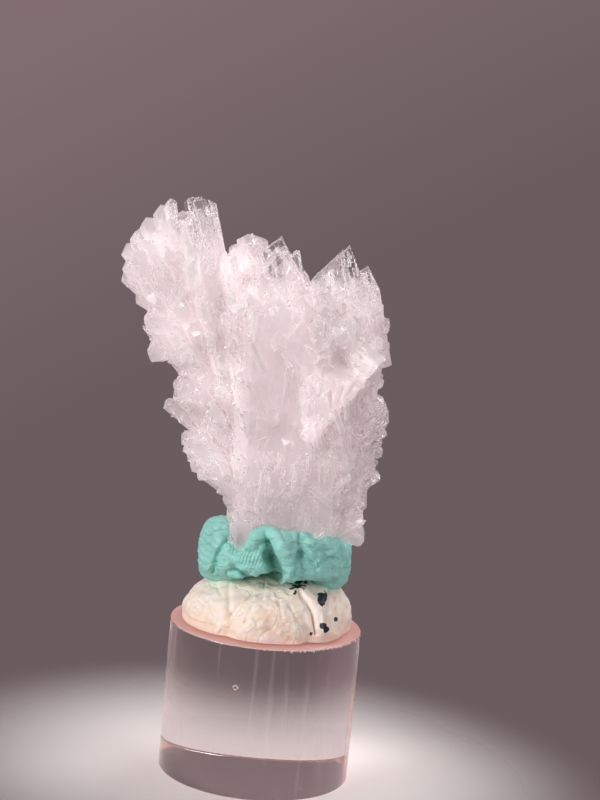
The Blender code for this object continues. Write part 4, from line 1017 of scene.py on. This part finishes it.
def putty_finish(options):
    """Off-white putty with tan stains in its folds, a glossy strip, a pale smear, a few dark ink marks and painted
    shadow under the tack's block.
    """
    f, look = Finish(bpy.data.materials.new("white putty")), PUTTY_LOOK
    place = f.place()
    axes = _, y, z = f.axes(place)
    front = f.step(y, *look.front)
    flat = f.scaled(place, 1.0, 0.0, 1.0)
    fine = f.noise(place, *look.fine)
    colour = f.blend(f.step(f.noise(place, *look.cloud), *look.warm), options.light, options.warm)
    colour = f.layered(f.layered(colour, z, look.rosy), z, look.tan)
    stain, smear = (f.near(f.scaled(place, *factors), *shape) for factors, *shape in (STAIN, SMEAR))
    stain = stain * f.step(f.noise(place, *look.blotch), *look.blotched)
    for *point, reach, share, shown in SMALL_STAINS:
        stain = stain + share * f.near(flat, point, reach) * f.step(fine, *shown)
    colour = f.blend((look.stain_share * front * stain).clamped(0, look.stain_most), colour, options.stain)
    smear, film = smear * front, f.box(axes, look.film_box) * front
    colour = f.blend(smear * look.smear_share, colour, look.smear)
    colour = f.blend(film * look.film_share, colour, look.film)
    # Dark ink marks, and painted shadow under the tack's block, in the same dark colour
    marks_and_painted_shading = f.spots(flat, INK_MARKS_AND_PAINTED_SHADOW)
    ragged = marks_and_painted_shading + look.mark_raggedness * (f.noise(place, look.mark_noise) - 0.5)
    dark = f.step(ragged, *look.marked) * f.step(marks_and_painted_shading, *look.mark_within) * front
    colour = f.blend(dark, colour, look.mark)
    gloss = (film * (1 - dark) + dark * look.mark_gloss + smear * look.smear_gloss).clamped()
    return f.done(f.shader(Base_Color=colour, Roughness=look.roughness - look.gloss_smooths * gloss,
                           Coat_Weight=gloss * look.coat, Coat_Roughness=look.coat_roughness,
                           Normal=f.kneaded(place, fine, look), Subsurface_Weight=look.scattered,
                           Subsurface_Scale=look.scatter_reach))


# The painted streaks and their sheen are painted reflections in pale vertical streaks on the front; the edge light
# is pink light painted on the lower right edge of the front
ACRYLIC_LOOK = Values(
    front=(0.004, -0.004), upright=(1.0, 1.0, 0.04), lines=0.0007, line_relief=(0.00003, 0.12), roughness=0.02,
    line_roughness=0.02, veil_size=0.0009, veil=(0.58, 0.75), veil_share=0.13, veil_least=0.01,
    haze=(0.90, 0.82, 0.82), haze_roughness=0.5, edge_share=0.35,
    edge_box=[(X, 0.0116, 0.0120), (Z, 0.017, 0.012)], shadow=(0.93, 0.90, 0.90))
# Ring-shaped nick in the front
NICK = Values(middle=(-0.0030, -0.01213, 0.01443), outer=(0.00042, 0.00030), inner=(0.00014, 0.00024),
              relief=(0.00015, 0.8), roughness=0.3, share=0.3)
# Chips of the rim, and the frosted top face, whose pink is painted light from below
CHIPS = Values(stretch=(1.0, 1.0, 0.3), size=0.0005, shown=(0.48, 0.66), right=(-0.004, 0.004), depth=0.0003)
TOP = Values(rim=(0.01975, 0.02000), below=(0.02000, 0.01985), rim_share=0.7, rim_colour=(0.90, 0.80, 0.79),
             cloud=(0.004, 3.0), roughness=0.42, grain=0.0003, relief=(0.00004, 0.4), glow_share=0.35,
             face=(0.01988, 0.01996), share=0.93)


def acrylic_finish(options):
    """Clear polished acrylic with a frosted top face whose rosy pink is painted light from below, a chipped rim,
    faint streaks, painted reflections as pale vertical streaks and as pink light on the lower right edge, and a
    ring-shaped nick.
    """
    f, look = Finish(bpy.data.materials.new("clear acrylic")), ACRYLIC_LOOK
    place = f.place()
    axes = x, y, z = f.axes(place)
    front = f.step(y, *look.front)
    upright = f.scaled(place, *look.upright)
    lines = f.noise(upright, look.lines)
    away = f.measure("DISTANCE", place, NICK.middle)
    nick = f.step(away, *NICK.outer) * f.step(away, *NICK.inner)
    rough = look.roughness + look.line_roughness * lines + NICK.roughness * nick
    clear = f.shader(Base_Color=options.tint, Transmission_Weight=1.0, IOR=options.refraction, Roughness=rough,
                     Normal=f.relief((lines, *look.line_relief), (nick, *NICK.relief)))
    haze = f.shader(Base_Color=look.haze, Roughness=look.haze_roughness)
    # Painted reflection: vertical streaks of pale sheen on the front
    veil = look.veil_share * f.step(f.noise(upright, look.veil_size), *look.veil) + look.veil_least
    side = f.mix((veil * front).clamped(), clear, haze)
    chips = f.step(f.noise(f.scaled(place, *CHIPS.stretch), CHIPS.size), *CHIPS.shown)
    height = z + CHIPS.depth * (chips * f.step(x, *CHIPS.right) * front)
    rim = f.step(height, *TOP.rim) * f.step(z, *TOP.below)
    # Pink of the frosted top face: painted light from below
    rosy = f.blend(f.noise(place, *TOP.cloud), options.frosted_top_painted_pink_pale, options.frosted_top_painted_pink_deep)
    rosy = f.blend(rim * front * TOP.rim_share, rosy, TOP.rim_colour)
    frosted = f.shader(Base_Color=rosy, Roughness=TOP.roughness,
                       Normal=f.relief((f.noise(place, TOP.grain), *TOP.relief)))
    glow = f.node("ShaderNodeBsdfTranslucent", inputs={0: options.frosted_top_painted_pink_pale})
    # The nick, and painted pink light along the lower right edge of the front
    marks_and_painted_shading = (nick * NICK.share + look.edge_share * f.box(axes, look.edge_box)) * front
    share = (f.step(height, *TOP.face) * TOP.share + marks_and_painted_shading).clamped()
    return f.done(f.lamp_lit(f.mix(share, side, f.mix(TOP.glow_share, frosted, glow)), look.shadow))


# Floor in millimetres, camera and lamps in metres
FLOOR = Values(half=300.0, height=-0.06, roughness=0.8)
CAMERA = Values(aim=Vector((0.001726, 0.0, 0.04978)), distance=0.28, roll=math.radians(5.354), lens=97.96,
                sensor=36, clip_start=0.01)
BACKDROP = Values(tilt=-0.6, fade=(-0.15, 0.10))
# Name, place, size and power of each lamp
LAMPS = [
    ("key", (-0.47, -0.36, 0.23), 0.28, 2.0), ("fill", (0.50, -0.40, 0.18), 0.40, 1.1),
    ("top", (0.00, 0.10, 0.60), 0.40, 0.7), ("rim", (0.30, 0.40, 0.58), 0.30, 1.1),
]
BOUNCES = {"max_bounces": 24, "transmission_bounces": 24, "glossy_bounces": 8, "diffuse_bounces": 8,
           "transparent_max_bounces": 48}


def floor_finish(options):
    """Pale floor that fades away from the stand, so that the backdrop takes over."""
    f = Finish(bpy.data.materials.new("pale floor"))
    away = f.measure("LENGTH", f.place())
    matte = f.shader(Base_Color=options.floor, Roughness=FLOOR.roughness)
    clear = f.node("ShaderNodeBsdfTransparent")
    return f.done(f.mix(f.step(away, options.floor_start, options.floor_end), matte, clear))


def backdrop(options):
    """World colour that darkens a little downwards and to the right."""
    f = Finish(bpy.data.worlds.new("backdrop"))
    x, _, z = f.axes(f.place("Generated"))
    colour = f.blend(f.step(x * BACKDROP.tilt + z, *BACKDROP.fade), options.backdrop_low, options.backdrop_high)
    return f.done(f.node("ShaderNodeBackground", inputs={"Color": colour}), "ShaderNodeOutputWorld")


def colour_property(name, description, default):
    """A colour that a user may change."""
    return FloatVectorProperty(name=name, description=description, subtype="COLOR", size=3, min=0, max=1,
                               default=default)


def number(name, description, default, unit="LENGTH", **limits):
    """A number that a user may change."""
    return FloatProperty(name=name, description=description, default=default, unit=unit, **limits)


class CrystalSettings(bpy.types.PropertyGroup):
    """How the crystals grow and how clear they are."""
    middle_tries: IntProperty(name="Middling crystals", description="Places tried for middling crystals",
                              default=4000, min=0)
    fine_tries: IntProperty(name="Fine crystals", description="Places tried for fine crystals",
                            default=14000, min=0)
    refraction: number("Refraction", "Index of refraction", 1.46, "NONE", min=1, max=2)
    glass_colour: colour_property("Clear colour", "Tint of the clear crystal", (0.992, 0.984, 0.986))
    glow_colour: colour_property("Glow colour", "Colour of light through the milky crystal", (0.86, 0.815, 0.821))
    # The milky colour runs from the next colour to the one after it by painted light and shade and by random
    # mottle
    painted_shade_and_mottle_colour: colour_property("Dull colour", "Colour where the milky crystal is duller", (0.60, 0.548, 0.553))
    painted_light_and_mottle_colour: colour_property("Bright colour", "Colour where it is whitest", (0.98, 0.945, 0.95))


class TackSettings(bpy.types.PropertyGroup):
    """Colours and pressing of the tack."""
    fingerprint: number("Fingerprint", "Height of the pressed ridges in millimetres", 0.11, "NONE", min=0, max=0.2)
    light: colour_property("Lit colour", "Colour of the tack where it is pale", (0.37, 0.77, 0.69))
    shade: colour_property("Deep colour", "Colour of the tack where it is deep", (0.25, 0.63, 0.55))


class PuttySettings(bpy.types.PropertyGroup):
    """Colours of the putty."""
    light: colour_property("Clean colour", "Colour of the clean putty", (0.98, 0.895, 0.80))
    warm: colour_property("Warm colour", "Colour of the handled putty", (0.97, 0.79, 0.65))
    stain: colour_property("Stain", "Colour of the stains in its folds", (0.62, 0.39, 0.27))


class AcrylicSettings(bpy.types.PropertyGroup):
    """Size and finish of the cylinder."""
    radius: number("Radius", "Radius of the cylinder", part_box("acrylic_cylinder")[1][0])
    height: number("Height", "Height of the cylinder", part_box("acrylic_cylinder")[1][2])
    edge: number("Edge", "Width of the edge break", 0.00025)
    refraction: number("Refraction", "Index of refraction", 1.49, "NONE", min=1, max=2)
    tint: colour_property("Tint", "Tint of the clear acrylic", (0.905, 0.84, 0.84))
    # Pink of the frosted top face: painted light from below
    frosted_top_painted_pink_pale: colour_property("Top, pale", "Paler colour of the frosted top", (0.93, 0.56, 0.505))
    frosted_top_painted_pink_deep: colour_property("Top, deep", "Deeper colour of the frosted top", (0.80, 0.445, 0.405))


class StageSettings(bpy.types.PropertyGroup):
    """Floor, backdrop and lights."""
    floor: colour_property("Floor", "Colour of the floor", (0.74, 0.71, 0.70))
    floor_start: number("Fade start", "Radius where the floor starts to fade", 0.014)
    floor_end: number("Fade end", "Radius where the floor has faded", 0.050)
    backdrop_high: colour_property("Backdrop, top", "Colour of the backdrop higher up", (0.219, 0.155, 0.167))
    backdrop_low: colour_property("Backdrop, bottom", "Colour of the backdrop lower down", (0.146, 0.106, 0.113))
    light: number("Light", "Strength of the lamps", 1.5, "NONE", min=0)


class GrowCrystals(bpy.types.Operator):
    """Grow the cluster: big blocks, edge crystals and two sizes of small ones on their faces"""
    bl_idname = "specimen.grow_crystals"
    bl_label = "Grow crystals"

    def execute(self, context):
        options = context.scene.specimen_crystals
        named = np.concatenate([BLOCKS, EDGES])
        cover = covering_rows(BLOCKS, BLOCKS, COVER_TRIES, COVER)
        large = np.concatenate([named, cover])
        box = [np.array(corner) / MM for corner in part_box("creedite_cluster")]
        middling = inside_box(covering_rows(large, named, options.middle_tries, MIDDLING), *box)
        fine = inside_box(covering_rows(large, named, options.fine_tries, FINE), *box)
        parts = [BLOCKS, EDGES, cover, FILLERS, SPRIGS, barb_rows(), thinned(middling, MIDDLING_SEED),
                 thinned(fine, FINE_SEED)]
        rows = np.concatenate(parts)
        points, across = crystal_shells(rows)
        grain = np.random.default_rng(GRAIN_SEED).uniform(0, 1, len(rows))
        milk = np.repeat(MILK_SHARES, [len(part) for part in parts])
        template = np.concatenate([np.array(face) for face in FACES])
        corners = (template[None] + SHELL_CORNERS * np.arange(len(rows))[:, None]).ravel()
        counts = np.tile([len(face) for face in FACES], len(rows))
        values = {"grain": np.repeat(grain, SHELL_CORNERS), "milk": np.repeat(milk, SHELL_CORNERS),
                  "across": across * MM}
        piece = put_mesh("creedite_crystals", points.reshape(-1, 3), counts, corners, False, values)
        piece.data.materials.append(crystal_finish(options))
        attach(piece, BODY)
        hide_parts("creedite_cluster")
        return {"FINISHED"}


class FoldTack(bpy.types.Operator):
    """Fold the tack round the foot of the crystals"""
    bl_idname = "specimen.fold_tack"
    bl_label = "Fold tack"

    def execute(self, context):
        options = context.scene.specimen_tack
        band, crumb = closed_grid(tack_grid(options.fingerprint)), closed_grid(crumb_grid())
        piece = put_mesh("tack_band", *joined(band, crumb), True)
        piece.data.materials.append(tack_finish(options))
        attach(piece, BODY)
        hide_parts("turquoise_tack")
        return {"FINISHED"}


class PressPutty(bpy.types.Operator):
    """Press the putty mound on the cylinder"""
    bl_idname = "specimen.press_putty"
    bl_label = "Press putty"

    def execute(self, context):
        options = context.scene.specimen_putty
        piece = put_mesh("putty_mound", *closed_grid(putty_grid()), True)
        piece.data.materials.append(putty_finish(options))
        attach(piece, BODY)
        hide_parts("white_putty")
        return {"FINISHED"}


class TurnCylinder(bpy.types.Operator):
    """Turn the acrylic cylinder with a fine edge break"""
    bl_idname = "specimen.turn_cylinder"
    bl_label = "Turn cylinder"

    def execute(self, context):
        options = context.scene.specimen_acrylic
        grid = cylinder_grid(options.radius / MM, options.height / MM, options.edge / MM)
        piece = put_mesh("acrylic_stand", *closed_grid(grid), True)
        piece.data.set_sharp_from_angle(angle=CYLINDER.sharp)
        piece.data.materials.append(acrylic_finish(options))
        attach(piece, BODY)
        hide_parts("acrylic_cylinder")
        return {"FINISHED"}


class SetStage(bpy.types.Operator):
    """Set the floor, the backdrop, the lamps and the camera"""
    bl_idname = "specimen.set_stage"
    bl_label = "Set stage"

    def execute(self, context):
        scene, options = context.scene, context.scene.specimen_stage
        half, low = FLOOR.half, FLOOR.height
        corners = [(-half, -half, low), (half, -half, low), (half, half, low), (-half, half, low)]
        floor = put_mesh("floor", corners, [4], [0, 1, 2, 3], False)
        floor.data.materials.append(floor_finish(options))
        scene.world = backdrop(options)
        for name, place, size, power in LAMPS:
            self.hang_lamp(scene, name, Vector(place), size, power * options.light)
        self.place_camera(scene)
        scene.view_settings.view_transform = "Standard"
        for kind, most in BOUNCES.items():
            setattr(scene.cycles, kind, most)
        return {"FINISHED"}

    def hang_lamp(self, scene, name, place, size, power):
        """A square lamp that looks at the specimen and isn't seen itself."""
        light = bpy.data.lights.new(name, "AREA")
        light.size = size
        light.energy = power
        lamp = self.hang(scene, name, light, place, (CAMERA.aim - place).to_track_quat("-Z", "Y"))
        lamp.visible_camera = False

    def place_camera(self, scene):
        """Camera at the photograph's height and tilt."""
        camera = bpy.data.cameras.new("camera")
        camera.lens = CAMERA.lens
        camera.sensor_width = CAMERA.sensor
        camera.clip_start = CAMERA.clip_start
        back = Vector((0, -math.cos(VIEW_ELEVATION), math.sin(VIEW_ELEVATION)))
        turn = Quaternion(back, CAMERA.roll) @ (-back).to_track_quat("-Z", "Y")
        scene.camera = self.hang(scene, "camera", camera, CAMERA.aim + back * CAMERA.distance, turn)

    def hang(self, scene, name, data, place, turn):
        """A new object for a lamp or a camera."""
        item = bpy.data.objects.new(name, data)
        scene.collection.objects.link(item)
        item.location = place
        item.rotation_mode = "QUATERNION"
        item.rotation_quaternion = turn
        return item


GROUPS = {
    "specimen_crystals": (CrystalSettings, GrowCrystals),
    "specimen_tack": (TackSettings, FoldTack),
    "specimen_putty": (PuttySettings, PressPutty),
    "specimen_acrylic": (AcrylicSettings, TurnCylinder),
    "specimen_stage": (StageSettings, SetStage),
}


class SpecimenPanel(bpy.types.Panel):
    """Every piece with its settings"""
    bl_idname = "VIEW3D_PT_specimen"
    bl_label = "Specimen"
    bl_space_type = "VIEW_3D"
    bl_region_type = "UI"
    bl_category = "Specimen"

    def draw(self, context):
        for key, (group, operator) in GROUPS.items():
            box = self.layout.box()
            box.operator(operator.bl_idname)
            for name in group.__annotations__:
                box.prop(getattr(context.scene, key), name)


def register():
    """Adds the settings, operators and panel."""
    for key, (group, operator) in GROUPS.items():
        bpy.utils.register_class(group)
        bpy.utils.register_class(operator)
        setattr(bpy.types.Scene, key, PointerProperty(type=group))
    bpy.utils.register_class(SpecimenPanel)


def unregister():
    """Takes them away again."""
    bpy.utils.unregister_class(SpecimenPanel)
    for key, (group, operator) in GROUPS.items():
        delattr(bpy.types.Scene, key)
        bpy.utils.unregister_class(operator)
        bpy.utils.unregister_class(group)


def main():
    """Makes every piece and the stage."""
    register()
    bpy.ops.specimen.grow_crystals()
    bpy.ops.specimen.fold_tack()
    bpy.ops.specimen.press_putty()
    bpy.ops.specimen.turn_cylinder()
    bpy.ops.specimen.set_stage()


if __name__ == "__main__":
    main()
